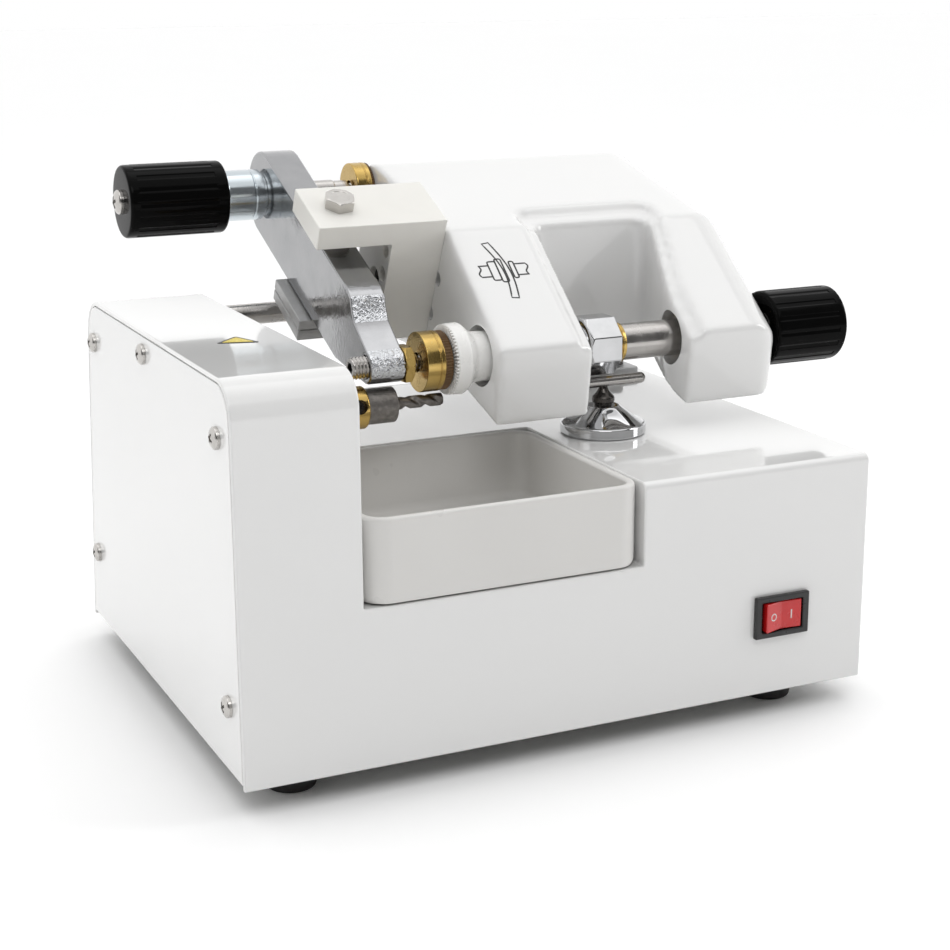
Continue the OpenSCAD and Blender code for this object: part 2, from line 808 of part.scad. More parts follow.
module clamp_knob() {
    color("black") place() difference() {
        fluted_grip(knob_x[0], knob_x[1], 13.5, knob_y, knob_z, 24, 19, 49);
        bar_x(30, 56, knob_y, knob_z, 4.01);
        bar_x(knob_x[0] - 1, 31, knob_y, knob_z, 2.01);
    }
}

module knob_sleeve() {
    color("lightsteelblue") place() difference() {
        union() {
            bar_x(knob_x[1] + 0.4, 68.5, knob_y, knob_z, 9.5);
            bar_x(68.5, lever_x[0], knob_y, knob_z, 8);
        }
        bar_x(knob_x[1], 71, knob_y, knob_z, 4 + run);
    }
}

module push_screw() {
    color("silver") place() union() {
        bar_x(30, 104.2, knob_y, knob_z, 4);
        bar_x(knob_x[0], 30, knob_y, knob_z, 2);
        bar_x(knob_x[0] - 2, knob_x[0], knob_y, knob_z, 4.6);
        translate([knob_x[0] - 3.2, knob_y, knob_z]) rotate([0, 90, 0]) cylinder(h = 1.2, r1 = 3, r2 = 4.6);
    }
}

// Swivel at the push screw's tip
module push_ball() {
    color("silver") place() {
        bar_x(104.3, 107, knob_y, knob_z, 2);
        translate([108.2, knob_y, knob_z]) sphere(r = 3.2);
    }
}

module push_disc() {
    color("goldenrod") place() difference() {
        bar_x(105.6, 111.8, knob_y, knob_z, 10);
        bar_x(105, 111.5, knob_y, knob_z, 3.35);
    }
}

module push_pad() {
    color("saddlebrown") place() bar_x(111.8, head_x - 0.2, knob_y, knob_z, 9.8);
}

base_shell();
side_cover();
side_cover_screws();
bottom_plate();
rubber_feet();
foot_screws();
blank_label();
switch_housing();
power_inlet();
inlet_screws();
motor_body();
motor_bracket();
motor_screws();
drive_belt();
spindle_housing();
spindle_bearings();
pivot_rod();
pivot_rod_block();
pivot_post();
pivot_post_screws();
pivot_collars();
switch_rocker();
swarf_tray();
spindle_shaft();
spindle_pulley();
cutter_collar();
collar_set_screw();
cutter_bush();
milling_cutter();
motor_shaft();
motor_pulley();
size_dial();
tracer_cone();
tracer_pin();
head_casting();
pivot_bushes();
shaft_bushes();
lever_bracket();
fulcrum_plate();
bracket_screws();
fulcrum_bolt();
fulcrum_spacer();
lens_shaft();
chuck_cup();
pattern_hub();
pattern_collar();
pattern_ring();
turning_knob();
clamp_lever();
clamp_screw();
clamp_lock_nut();
clamp_ball();
clamp_disc();
clamp_pad();
clamp_knob();
knob_sleeve();
push_screw();
push_ball();
push_disc();
push_pad();
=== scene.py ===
# %% [markdown]
# # A pattern edger for spectacle lenses, piece by piece
# This bench machine copies a pattern onto a lens edge. A white sheet-metal base hides the motor,
# a cast head swings on a rod, and a chromed lever clamps the lens beside a small milling cutter.
# The frame below is the exact working model; each cell dresses one or a few of its pieces.

# %% Load the working frame
import json
import math

import bmesh
import bpy
from mathutils import Matrix, Vector


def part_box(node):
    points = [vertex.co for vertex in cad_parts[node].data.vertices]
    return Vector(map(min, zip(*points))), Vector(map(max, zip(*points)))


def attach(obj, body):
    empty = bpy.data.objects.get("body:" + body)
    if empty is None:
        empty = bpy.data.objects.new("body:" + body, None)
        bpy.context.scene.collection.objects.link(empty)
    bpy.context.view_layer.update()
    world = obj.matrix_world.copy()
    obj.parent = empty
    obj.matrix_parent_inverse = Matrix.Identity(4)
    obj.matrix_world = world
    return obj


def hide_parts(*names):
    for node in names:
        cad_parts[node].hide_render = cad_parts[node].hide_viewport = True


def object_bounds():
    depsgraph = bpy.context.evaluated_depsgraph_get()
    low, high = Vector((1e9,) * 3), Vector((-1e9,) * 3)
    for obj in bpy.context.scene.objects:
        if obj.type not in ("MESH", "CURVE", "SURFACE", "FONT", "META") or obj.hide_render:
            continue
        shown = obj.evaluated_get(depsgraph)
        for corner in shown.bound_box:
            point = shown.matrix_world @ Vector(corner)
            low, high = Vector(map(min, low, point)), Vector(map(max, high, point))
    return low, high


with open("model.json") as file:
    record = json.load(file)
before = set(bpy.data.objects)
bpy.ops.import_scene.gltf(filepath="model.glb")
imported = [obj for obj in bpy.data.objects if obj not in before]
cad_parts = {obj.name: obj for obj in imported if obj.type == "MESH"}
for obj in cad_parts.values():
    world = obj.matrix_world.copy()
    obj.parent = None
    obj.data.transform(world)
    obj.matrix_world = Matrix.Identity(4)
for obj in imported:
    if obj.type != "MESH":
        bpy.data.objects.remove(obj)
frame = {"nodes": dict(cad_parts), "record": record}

cad_nodes = frame["nodes"]
cad_low, cad_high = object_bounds()

# %% [markdown]
# ## Workshop measure
# A fitter measures from the base's left front bottom corner, in millimetres: x to the right,
# y to the rear, z upwards. One small function turns such a measure into a place in the frame.
# The three working axes all run along x, so each needs only its y and z, read from the frame.

# %% Places in the frame
MM = 0.001
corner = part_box("base_shell")[0]


def at(x, y, z):
    """A workshop measure in millimetres, as a place in the frame."""
    return corner + Vector((x, y, z)) * MM


def axis_of(node):
    """The y and z of a round node's axis, in workshop millimetres."""
    low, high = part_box(node)
    middle = ((low + high) / 2 - corner) / MM
    return middle.y, middle.z


LENS = axis_of("lens_shaft")
CUTTER = axis_of("milling_cutter")
KNOB = axis_of("knob_sleeve")
PIVOT = axis_of("pivot_rod")
LEVER_TILT = math.radians(25)


def on_lever(x, u, w):
    """A place in the lever's own tilted plane: u runs up the lever and w across it."""
    y = LENS[0] + u * math.cos(LEVER_TILT) - w * math.sin(LEVER_TILT)
    z = LENS[1] + u * math.sin(LEVER_TILT) + w * math.cos(LEVER_TILT)
    return at(x, y, z)


print("lens axis", LENS, "cutter axis", CUTTER, "knob axis", KNOB)

# %% [markdown]
# ## The camera
# The camera stands a little to the left of the machine and above it, with a long lens so that
# upright edges stay nearly parallel. It is turned with a matrix whose columns are its right, up
# and back directions, which is clearer than three angles.

# %% Place the camera
AZIMUTH, ELEVATION, ROLL = (math.radians(a) for a in (-24.98, 15.15, -0.31))
CAMERA_PLACE = at(-159.07, -510.75, 244.84)
back = Vector((math.sin(AZIMUTH) * math.cos(ELEVATION),
               -math.cos(AZIMUTH) * math.cos(ELEVATION), math.sin(ELEVATION)))
level_right = (-back).cross(Vector((0, 0, 1))).normalized()
level_up = level_right.cross(-back)
right = level_right * math.cos(ROLL) + level_up * math.sin(ROLL)
up = level_up * math.cos(ROLL) - level_right * math.sin(ROLL)

camera = bpy.data.objects.new("camera", bpy.data.cameras.new("camera"))
bpy.context.scene.collection.objects.link(camera)
camera.data.lens = 70.89
camera.data.sensor_width = 36
camera.matrix_world = Matrix.Translation(CAMERA_PLACE) @ Matrix(
    (right, up, back)).transposed().to_4x4()
camera.data.clip_start, camera.data.clip_end = 0.05, 20
bpy.context.scene.camera = camera
print("camera at", [round(v, 3) for v in camera.location])

# %% [markdown]
# ## Studio light
# White paint wants a bright, almost shadowless tent, and chrome wants something dark to
# reflect. So the room is white ahead of the camera and grey behind it, and wide soft boxes
# stand above and to both sides. The floor is a plain pale sheet, and whatever lies behind the
# machine is plain white paper.


# %% Build the studio
def soft_box(name, place, target, wide, high, power):
    """A rectangular studio lamp that looks at a target."""
    lamp = bpy.data.lights.new(name, "AREA")
    lamp.shape, lamp.size, lamp.size_y, lamp.energy = "RECTANGLE", wide, high, power
    lamp_object = bpy.data.objects.new(name, lamp)
    bpy.context.scene.collection.objects.link(lamp_object)
    lamp_object.location = place
    aim = Vector(target) - Vector(place)
    lamp_object.rotation_euler = aim.to_track_quat("-Z", "Y").to_euler()
    return lamp_object


middle = (cad_low + cad_high) / 2
soft_box("key_box", (-0.3, -0.95, 1.15), middle, 0.7, 0.5, 2.6)
soft_box("right_box", (1.3, -0.5, 0.7), middle, 0.4, 0.9, 4.5)
soft_box("left_strip", (-1.3, 0.25, 0.55), middle, 0.35, 0.9, 0.1)
ceiling = bpy.data.lights.new("ceiling", "SUN")
ceiling.energy, ceiling.angle = 0.9, math.radians(70)
ceiling_object = bpy.data.objects.new("ceiling", ceiling)
bpy.context.scene.collection.objects.link(ceiling_object)
ceiling_object.rotation_euler = (math.radians(14), math.radians(2), 0)


def ranged(tree, value, start, end, low, high):
    """A value's span from start to end, laid out from low to high."""
    span = tree.nodes.new("ShaderNodeMapRange")
    for label, number in (("From Min", start), ("From Max", end), ("To Min", low),
                          ("To Max", high)):
        span.inputs[label].default_value = number
    tree.links.new(value, span.inputs["Value"])
    return span.outputs[0]


def mixed(tree, factor, first, second):
    """A mix from a first colour, or a socket that gives one, to a second colour."""
    mix = tree.nodes.new("ShaderNodeMix")
    mix.data_type = "RGBA"
    if isinstance(first, tuple):
        mix.inputs["A"].default_value = (*first, 1)
    else:
        tree.links.new(first, mix.inputs["A"])
    mix.inputs["B"].default_value = (*second, 1)
    tree.links.new(factor, mix.inputs["Factor"])
    return mix.outputs["Result"]


world = bpy.data.worlds.new("studio_room")
world.use_nodes = True
room = world.node_tree
direction = room.nodes.new("ShaderNodeTexCoord")
parts = room.nodes.new("ShaderNodeSeparateXYZ")
room.links.new(direction.outputs["Generated"], parts.inputs[0])
walls = room.nodes.new("ShaderNodeValToRGB")
for stop, place, light in zip(walls.color_ramp.elements, (0.3, 0.55), (0.15, 1.12)):
    stop.position, stop.color = place, (light, light, light, 1)
room.links.new(ranged(room, parts.outputs["Y"], -1, 1, 0, 1), walls.inputs[0])
sight = room.nodes.new("ShaderNodeLightPath")
paper = mixed(room, sight.outputs["Is Camera Ray"], walls.outputs[0], (1, 1, 1))
room.links.new(paper, room.nodes["Background"].inputs["Color"])
bpy.context.scene.world = world
bpy.context.scene.view_settings.view_transform = "Standard"
bpy.context.scene.view_settings.look = "None"

floor_mesh = bpy.data.meshes.new("floor")
floor_mesh.from_pydata([(-8, -8, 0), (8, -8, 0), (8, 8, 0), (-8, 8, 0)], [], [(0, 1, 2, 3)])
floor = bpy.data.objects.new("floor", floor_mesh)
bpy.context.scene.collection.objects.link(floor)
print("three soft boxes, a lit ceiling and a floor")

# %% [markdown]
# ## A recipe for finishes
# Every finish here has the same build: two close tones mixed by a soft noise, a roughness that
# wanders a little, and a fine bump. What makes brass look turned or paint look sprayed is the
# noise's size and how far it is stretched along one axis. Numbers that don't vary go straight
# on the shader's own sockets.


# %% Make a finish
def finish(name, tone, second_tone, roughness, metallic=0.0, patch=60, grain=900,
           stretch=(1, 1, 1), bump=0.1, depth=0.0001, rough_spread=0.06, coat=0.0, edge=0.0,
           gloss=0.5):
    """A procedural finish: two tones, wandering roughness and a fine bump."""
    material = bpy.data.materials.new(name)
    material.use_nodes = True
    tree = material.node_tree
    wire = tree.links.new
    shader = tree.nodes["Principled BSDF"]
    for label, number in (("Metallic", metallic), ("Coat Weight", coat), ("Coat Roughness", 0.03),
                          ("Specular IOR Level", gloss)):
        shader.inputs[label].default_value = number
    place = tree.nodes.new("ShaderNodeTexCoord").outputs["Object"]
    stretcher = tree.nodes.new("ShaderNodeMapping")
    stretcher.inputs["Scale"].default_value = stretch
    wire(place, stretcher.inputs["Vector"])

    def noise(scale, detail, vector):
        clouds = tree.nodes.new("ShaderNodeTexNoise")
        clouds.inputs["Scale"].default_value = scale
        clouds.inputs["Detail"].default_value = detail
        wire(vector, clouds.inputs["Vector"])
        return clouds.outputs["Fac"]

    colour = mixed(tree, noise(patch, 4, stretcher.outputs[0]), tone, second_tone)
    if edge:
        shape = tree.nodes.new("ShaderNodeNewGeometry")
        rubbed = ranged(tree, shape.outputs["Pointiness"], 0.52, 0.62, 0, edge)
        bright = tuple(min(1, c * 1.35 + 0.05) for c in tone)
        colour = mixed(tree, rubbed, colour, bright)
    wire(colour, shader.inputs["Base Color"])
    wander = ranged(tree, noise(patch * 1.7, 3, place), 0.3, 0.7,
                    max(0.02, roughness - rough_spread), roughness + rough_spread)
    wire(wander, shader.inputs["Roughness"])
    relief = tree.nodes.new("ShaderNodeBump")
    relief.inputs["Strength"].default_value = bump
    relief.inputs["Distance"].default_value = depth
    wire(noise(grain, 3, stretcher.outputs[0]), relief.inputs["Height"])
    wire(relief.outputs[0], shader.inputs["Normal"])
    return material


# A small number draws the grain out: these two leave the fine rings of a lathe round x
RINGS = (1, 0.04, 0.04)
sprayed_white = finish("sprayed_white", (0.82, 0.818, 0.81), (0.79, 0.79, 0.785), 0.09,
                       patch=14, grain=420, bump=0.04, coat=0.7, rough_spread=0.03)
bracket_cream = finish("bracket_cream", (0.86, 0.845, 0.795), (0.80, 0.785, 0.74), 0.36,
                       patch=90, grain=2600, bump=0.12, edge=0.3)
tray_plastic = finish("tray_plastic", (0.73, 0.72, 0.70), (0.69, 0.68, 0.66), 0.34,
                      patch=30, grain=2200, bump=0.16, rough_spread=0.08)
cup_plastic = finish("cup_plastic", (0.91, 0.905, 0.885), (0.87, 0.862, 0.84), 0.28,
                     patch=120, grain=1500, bump=0.08)
floor_paper = finish("floor_paper", (0.985, 0.985, 0.985), (0.975, 0.975, 0.975), 0.7,
                     patch=3, grain=300, bump=0.05)
floor.data.materials.append(floor_paper)
knob_black = finish("knob_black", (0.002, 0.002, 0.002), (0.004, 0.004, 0.004), 0.1,
                    patch=90, grain=900, bump=0.04, rough_spread=0.04, gloss=0.05)
switch_black = finish("switch_black", (0.015, 0.015, 0.016), (0.022, 0.022, 0.022), 0.32,
                      patch=200, grain=3000, bump=0.2)
switch_red = finish("switch_red", (0.62, 0.012, 0.014), (0.52, 0.008, 0.01), 0.25,
                    patch=120, grain=1600, bump=0.06, coat=0.3)
foot_rubber = finish("foot_rubber", (0.012, 0.012, 0.012), (0.026, 0.025, 0.024), 0.7,
                     patch=300, grain=2400, bump=0.3)
lever_chrome = finish("lever_chrome", (0.40, 0.40, 0.405), (0.30, 0.305, 0.315), 0.13, metallic=1,
                      patch=110, grain=620, bump=0.16, depth=0.0003, rough_spread=0.07)
bright_chrome = finish("bright_chrome", (0.62, 0.62, 0.63), (0.48, 0.485, 0.49), 0.06, metallic=1,
                       patch=160, grain=500, bump=0.05, rough_spread=0.04)
blue_zinc = finish("blue_zinc", (0.50, 0.56, 0.60), (0.62, 0.66, 0.68), 0.2, metallic=1,
                   patch=70, grain=900, stretch=RINGS, bump=0.12, rough_spread=0.08)
turned_steel = finish("turned_steel", (0.42, 0.40, 0.385), (0.55, 0.535, 0.515), 0.22, metallic=1,
                      patch=130, grain=2400, stretch=RINGS, bump=0.3, rough_spread=0.08)
bolt_steel = finish("bolt_steel", (0.48, 0.465, 0.445), (0.60, 0.58, 0.555), 0.22, metallic=1,
                    patch=220, grain=1800, bump=0.2, edge=0.4)
dark_steel = finish("dark_steel", (0.045, 0.042, 0.04), (0.10, 0.092, 0.085), 0.26, metallic=1,
                    patch=200, grain=1500, stretch=RINGS, bump=0.25)
# Grey metal for the post and the housings; on the plate under the lever this grey is painted shade.
cast_grey = finish("cast_grey", (0.40, 0.40, 0.40), (0.50, 0.50, 0.50), 0.45, metallic=0.75,
                   patch=260, grain=1500, bump=0.5, depth=0.0003, edge=0.5)
mottled_bush = finish("mottled_bush", (0.10, 0.092, 0.085), (0.33, 0.31, 0.29), 0.4, metallic=0.9,
                      patch=620, grain=1500, bump=0.5, depth=0.0003)
turned_brass = finish("turned_brass", (0.58, 0.41, 0.14), (0.44, 0.29, 0.085), 0.22, metallic=1,
                      patch=110, grain=2600, stretch=RINGS, bump=0.35, rough_spread=0.09, edge=0.3)
grip_leather = finish("grip_leather", (0.20, 0.11, 0.04), (0.09, 0.05, 0.02), 0.6,
                      patch=500, grain=1900, bump=0.6, depth=0.0003)
label_yellow = finish("label_yellow", (0.78, 0.62, 0.06), (0.72, 0.56, 0.05), 0.3,
                      patch=200, grain=1500, bump=0.05)
print_black = finish("print_black", (0.012, 0.012, 0.012), (0.02, 0.02, 0.02), 0.4,
                     patch=300, grain=1500, bump=0.05)
print_white = finish("print_white", (0.82, 0.8, 0.78), (0.74, 0.72, 0.7), 0.4,
                     patch=300, grain=1500, bump=0.05)
plate_zinc = finish("plate_zinc", (0.45, 0.45, 0.44), (0.55, 0.55, 0.53), 0.38, metallic=1,
                    patch=60, grain=1300, bump=0.2)
print("finishes:", len(bpy.data.materials))

# %% [markdown]
# ## The mesh tools
# Most pieces are turned on a lathe or cut from a profile, so two makers cover them: one spins a
# profile round an axis, the other pulls an outline along x. Corners are eased first, because no
# real edge is perfectly sharp and the thin highlight on an edge is what the eye reads as solid.


# %% Outlines with eased corners
def eased(points, radius, closed=True, bits=3):
    """The outline with each corner turned into a short curve."""
    out = []
    for i, point in enumerate(points):
        here = Vector(point)
        if not closed and i in (0, len(points) - 1):
            out.append(tuple(here))
            continue
        before, after = Vector(points[i - 1]), Vector(points[(i + 1) % len(points)])
        if (here - before).angle(after - here, 0) < math.radians(14):
            out.append(tuple(here))
            continue
        reach = min(radius, (before - here).length * 0.45, (after - here).length * 0.45)
        start = here + (before - here).normalized() * reach
        end = here + (after - here).normalized() * reach
        for k in range(bits + 1):
            t = k / bits
            out.append(tuple(start * (1 - t) ** 2 + here * 2 * t * (1 - t) + end * t * t))
    return out


def arc(cy, cz, radius, first, last, bits=12):
    """Points on a circle between two angles in degrees."""
    return [(cy + radius * math.cos(math.radians(first + (last - first) * i / bits)),
             cz + radius * math.sin(math.radians(first + (last - first) * i / bits)))
            for i in range(bits + 1)]


# %% Turn a mesh into a clean object
def made(name, places, faces):
    """An object from places and faces, with doubles merged and faces pointing outwards."""
    mesh = bpy.data.meshes.new(name)
    mesh.from_pydata([tuple(p) for p in places], [], faces)
    obj = bpy.data.objects.new(name, mesh)
    bpy.context.scene.collection.objects.link(obj)
    tidy_mesh(mesh)
    return obj


def tidy_mesh(mesh):
    """Merges doubles, drops empty faces and turns every face outwards."""
    bm = bmesh.new()
    bm.from_mesh(mesh)
    bmesh.ops.remove_doubles(bm, verts=bm.verts, dist=2e-6)
    bmesh.ops.dissolve_degenerate(bm, edges=bm.edges, dist=1e-6)
    bmesh.ops.recalc_face_normals(bm, faces=bm.faces)
    bm.to_mesh(mesh)
    bm.free()


def on_z(x, y, z):
    """Places of a loose part that stands on z at the origin, before it is carried to its seat."""
    return Vector((x, y, z)) * MM


def turned(name, profile, axis, steps=72, shape=None, upright=False, ease=0.3, closed=False,
           where=at):
    """A lathe: profile is (along, radius) pairs, axis the two places of the axis it runs on."""
    profile = eased(profile, ease, closed=closed) if ease else list(profile)
    if closed:
        profile.append(profile[0])
    places, faces = [], []
    for along, radius in profile:
        for k in range(steps):
            angle = 2 * math.pi * k / steps
            r = shape(along, angle, radius) if shape else radius
            a, b = axis[0] + r * math.cos(angle), axis[1] + r * math.sin(angle)
            places.append(where(a, b, along) if upright else where(along, a, b))
    for i in range(len(profile) - 1):
        for k in range(steps):
            n = (k + 1) % steps
            faces.append((i * steps + k, i * steps + n, (i + 1) * steps + n, (i + 1) * steps + k))
    return made(name, places, faces)


def prism(name, near, far):
    """A solid between two rings of equally many places, closed at both ends."""
    n = len(near)
    faces = [tuple(range(n)), tuple(range(n, 2 * n))]
    faces += [(i, (i + 1) % n, n + (i + 1) % n, n + i) for i in range(n)]
    return made(name, [*near, *far], faces)


def pulled(name, outline, x0, x1, where=at):
    """An outline of two places pulled along x."""
    return prism(name, *([where(x, a, b) for a, b in outline] for x in (x0, x1)))


def plan_prism(name, plan, low=60, high=200, centre=(0, 0)):
    """A plan seen from above, pulled upwards from low to high."""
    return prism(name, *([at(centre[0] + x, centre[1] + y, z) for x, y in plan]
                         for z in (low, high)))


print("lathe and profile tools ready")


# %% Apply a modifier, cut, and soften
def with_modifier(obj, kind, **settings):
    """Applies one modifier to an object's mesh for good."""
    modifier = obj.modifiers.new("step", kind)
    for key, value in settings.items():
        setattr(modifier, key, value)
    view = bpy.context.evaluated_depsgraph_get()
    result = bpy.data.meshes.new_from_object(obj.evaluated_get(view))
    obj.modifiers.clear()
    old = obj.data
    result.name = old.name
    obj.data = result
    bpy.data.meshes.remove(old)
    return obj


def cut(obj, *tools, operation="DIFFERENCE"):
    """Cuts the tools out of an object, then takes the tools away."""
    for tool in tools:
        with_modifier(obj, "BOOLEAN", operation=operation, solver="EXACT", object=tool)
        bpy.data.objects.remove(tool)
    return obj


def smooth_faces(obj, sharp=35):
    """Smooth shading that keeps flat faces flat."""
    obj.data.shade_smooth()
    obj.data.set_sharp_from_angle(angle=math.radians(sharp))
    return with_modifier(obj, "WEIGHTED_NORMAL", keep_sharp=True, weight=60)


def rounded(obj, width, segments=3, angle=30, clamp=False):
    """Rounds every edge sharper than an angle, by a width in millimetres."""
    with_modifier(obj, "BEVEL", width=width * MM, segments=segments, limit_method="ANGLE",
                  angle_limit=math.radians(angle), use_clamp_overlap=clamp,
                  miter_outer="MITER_ARC")
    return smooth_faces(obj)


def softened(node, width, name=None, segments=3, angle=30):
    """A copy of a frame node with its edges rounded."""
    mesh = cad_nodes[node].data.copy()
    mesh.materials.clear()
    obj = bpy.data.objects.new(name or node + "_soft", mesh)
    bpy.context.scene.collection.objects.link(obj)
    bm = bmesh.new()
    bm.from_mesh(mesh)
    bmesh.ops.remove_doubles(bm, verts=bm.verts, dist=2e-6)
    bmesh.ops.dissolve_limit(bm, angle_limit=math.radians(0.5), verts=bm.verts, edges=bm.edges)
    bm.to_mesh(mesh)
    bm.free()
    return rounded(obj, width, segments, angle) if width else smooth_faces(obj)


def hand_over(obj, material, body, slot, *replaced):
    """Gives a piece its finish and its body, and hides the frame nodes it stands for; slot is not
    used.
    """
    if material is not None:
        obj.data.materials.clear()
        obj.data.materials.append(material)
    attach(obj, body)
    if replaced:
        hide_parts(*replaced)
    print(f"{obj.name}: {len(obj.data.polygons)} faces, on {body}")
    return obj


# %% [markdown]
# ## Repeats with Geometry Nodes
# Screws, teeth and grip grooves repeat one small shape. A node tree places the shape on points,
# makes the copies real and gives them their material; the same tree then serves every place
# with other numbers. The result is turned into a plain mesh, so nothing is left to evaluate.


# %% Helpers for node trees
def new_tree(name, sockets):
    """A Geometry Nodes tree with named inputs."""
    tree = bpy.data.node_groups.new(name, "GeometryNodeTree")
    tree.interface.new_socket("Geometry", in_out="INPUT", socket_type="NodeSocketGeometry")
    for label, kind in sockets:
        tree.interface.new_socket(label, in_out="INPUT", socket_type="NodeSocket" + kind)
    tree.interface.new_socket("Geometry", in_out="OUTPUT", socket_type="NodeSocketGeometry")
    return tree, tree.nodes.new("NodeGroupInput"), tree.nodes.new("NodeGroupOutput")


def grown(name, tree, start=None, **values):
    """Runs a tree on a start mesh and keeps the result as a plain mesh object."""
    holder = bpy.data.objects.new(name, start or bpy.data.meshes.new(name))
    bpy.context.scene.collection.objects.link(holder)
    modifier = holder.modifiers.new("grow", "NODES")
    modifier.node_group = tree
    sockets = {s.name: s.identifier for s in tree.interface.items_tree
               if s.item_type == "SOCKET" and s.in_out == "INPUT"}
    for label, value in values.items():
        modifier[sockets[label.replace("_", " ")]] = value
    view = bpy.context.evaluated_depsgraph_get()
    mesh = bpy.data.meshes.new_from_object(holder.evaluated_get(view))
    mesh.name = name
    holder.modifiers.clear()
    holder.data = mesh
    return holder


def linked(tree, *pairs):
    """Joins each output to its input."""
    for source, target in pairs:
        tree.links.new(source, target)


def points_mesh(name, places):
    """Bare points for a tree to put its copies on."""
    mesh = bpy.data.meshes.new(name)
    mesh.from_pydata([tuple(p) for p in places], [], [])
    return mesh


# %% A tree that drives screws into points
screw_tree, given, result = new_tree("screws_on_points", [
    ("Screw", "Object"), ("Facing", "Rotation"), ("Seed", "Int"), ("Finish", "Material")])
screw_shape = screw_tree.nodes.new("GeometryNodeObjectInfo")
stand = screw_tree.nodes.new("GeometryNodeInstanceOnPoints")
any_turn = screw_tree.nodes.new("FunctionNodeRandomValue")
any_turn.inputs["Max"].default_value = math.pi
spin = screw_tree.nodes.new("GeometryNodeRotateInstances")
turn_about = screw_tree.nodes.new("ShaderNodeCombineXYZ")
real = screw_tree.nodes.new("GeometryNodeRealizeInstances")
paint = screw_tree.nodes.new("GeometryNodeSetMaterial")
linked(
    screw_tree,
    (given.outputs["Geometry"], stand.inputs["Points"]),
    (given.outputs["Screw"], screw_shape.inputs["Object"]),
    (screw_shape.outputs["Geometry"], stand.inputs["Instance"]),
    (given.outputs["Facing"], stand.inputs["Rotation"]),
    (given.outputs["Seed"], any_turn.inputs["Seed"]),
    (any_turn.outputs["Value"], turn_about.inputs["Z"]),
    (stand.outputs[0], spin.inputs["Instances"]),
    (turn_about.outputs[0], spin.inputs["Rotation"]),
    (spin.outputs[0], real.inputs[0]),
    (real.outputs[0], paint.inputs["Geometry"]),
    (given.outputs["Finish"], paint.inputs["Material"]),
    (paint.outputs[0], result.inputs[0]))
print("screw tree:", len(screw_tree.nodes), "nodes")


# %% A tree that sets teeth round a ring
ring_tree, given, result = new_tree("teeth_round_a_ring", [
    ("Count", "Int"), ("Radius", "Float"), ("Tooth", "Vector"), ("Centre", "Vector"),
    ("Finish", "Material")])
ring = ring_tree.nodes.new("GeometryNodeMeshCircle")
tooth = ring_tree.nodes.new("GeometryNodeMeshCube")
where = ring_tree.nodes.new("GeometryNodeInputPosition")
outward = ring_tree.nodes.new("FunctionNodeAlignRotationToVector")
outward.axis = "X"
stand = ring_tree.nodes.new("GeometryNodeInstanceOnPoints")
real = ring_tree.nodes.new("GeometryNodeRealizeInstances")
turn = ring_tree.nodes.new("GeometryNodeTransform")
turn.inputs["Rotation"].default_value = (0, math.radians(90), 0)
paint = ring_tree.nodes.new("GeometryNodeSetMaterial")
linked(
    ring_tree,
    (given.outputs["Count"], ring.inputs["Vertices"]),
    (given.outputs["Radius"], ring.inputs["Radius"]),
    (given.outputs["Tooth"], tooth.inputs["Size"]),
    (where.outputs[0], outward.inputs["Vector"]),
    (ring.outputs[0], stand.inputs["Points"]),
    (tooth.outputs["Mesh"], stand.inputs["Instance"]),
    (outward.outputs[0], stand.inputs["Rotation"]),
    (stand.outputs[0], real.inputs[0]),
    (real.outputs[0], turn.inputs["Geometry"]),
    (given.outputs["Centre"], turn.inputs["Translation"]),
    (turn.outputs[0], paint.inputs["Geometry"]),
    (given.outputs["Finish"], paint.inputs["Material"]),
    (paint.outputs[0], result.inputs[0]))
print("ring tree:", len(ring_tree.nodes), "nodes")


# %% A tree that cuts grip grooves into a knob
groove_tree, given, result = new_tree("grooves_in_a_knob", [
    ("Count", "Int"), ("Ring radius", "Float"), ("Groove radius", "Float"), ("Length", "Float"),
    ("Centre", "Vector"), ("Finish", "Material")])
ring = groove_tree.nodes.new("GeometryNodeMeshCircle")
rod = groove_tree.nodes.new("GeometryNodeMeshCylinder")
rod.inputs["Vertices"].default_value = 12
stand = groove_tree.nodes.new("GeometryNodeInstanceOnPoints")
turn = groove_tree.nodes.new("GeometryNodeTransform")
turn.inputs["Rotation"].default_value = (0, math.radians(90), 0)
carve = groove_tree.nodes.new("GeometryNodeMeshBoolean")
carve.operation = "DIFFERENCE"
real = groove_tree.nodes.new("GeometryNodeRealizeInstances")
paint = groove_tree.nodes.new("GeometryNodeSetMaterial")
linked(
    groove_tree,
    (given.outputs["Count"], ring.inputs["Vertices"]),
    (given.outputs["Ring radius"], ring.inputs["Radius"]),
    (given.outputs["Groove radius"], rod.inputs["Radius"]),
    (given.outputs["Length"], rod.inputs["Depth"]),
    (ring.outputs[0], stand.inputs["Points"]),
    (rod.outputs["Mesh"], stand.inputs["Instance"]),
    (stand.outputs[0], turn.inputs["Geometry"]),
    (given.outputs["Centre"], turn.inputs["Translation"]),
    (given.outputs["Geometry"], carve.inputs["Mesh 1"]),
    (turn.outputs[0], carve.inputs["Mesh 2"]),
    (carve.outputs["Mesh"], real.inputs[0]),
    (real.outputs[0], paint.inputs["Geometry"]),
    (given.outputs["Finish"], paint.inputs["Material"]),
    (paint.outputs[0], result.inputs[0]))
print("groove tree:", len(groove_tree.nodes), "nodes")

# %% [markdown]
# ## The sheet-metal base
# The base is folded steel sheet with a thick sprayed coat, so its edges are small rounds, not
# corners. The working model already has the right folds and holes, so a copy of it only needs
# its edges rounded; the same goes for the side cover, whose thin seam must stay a dark line.

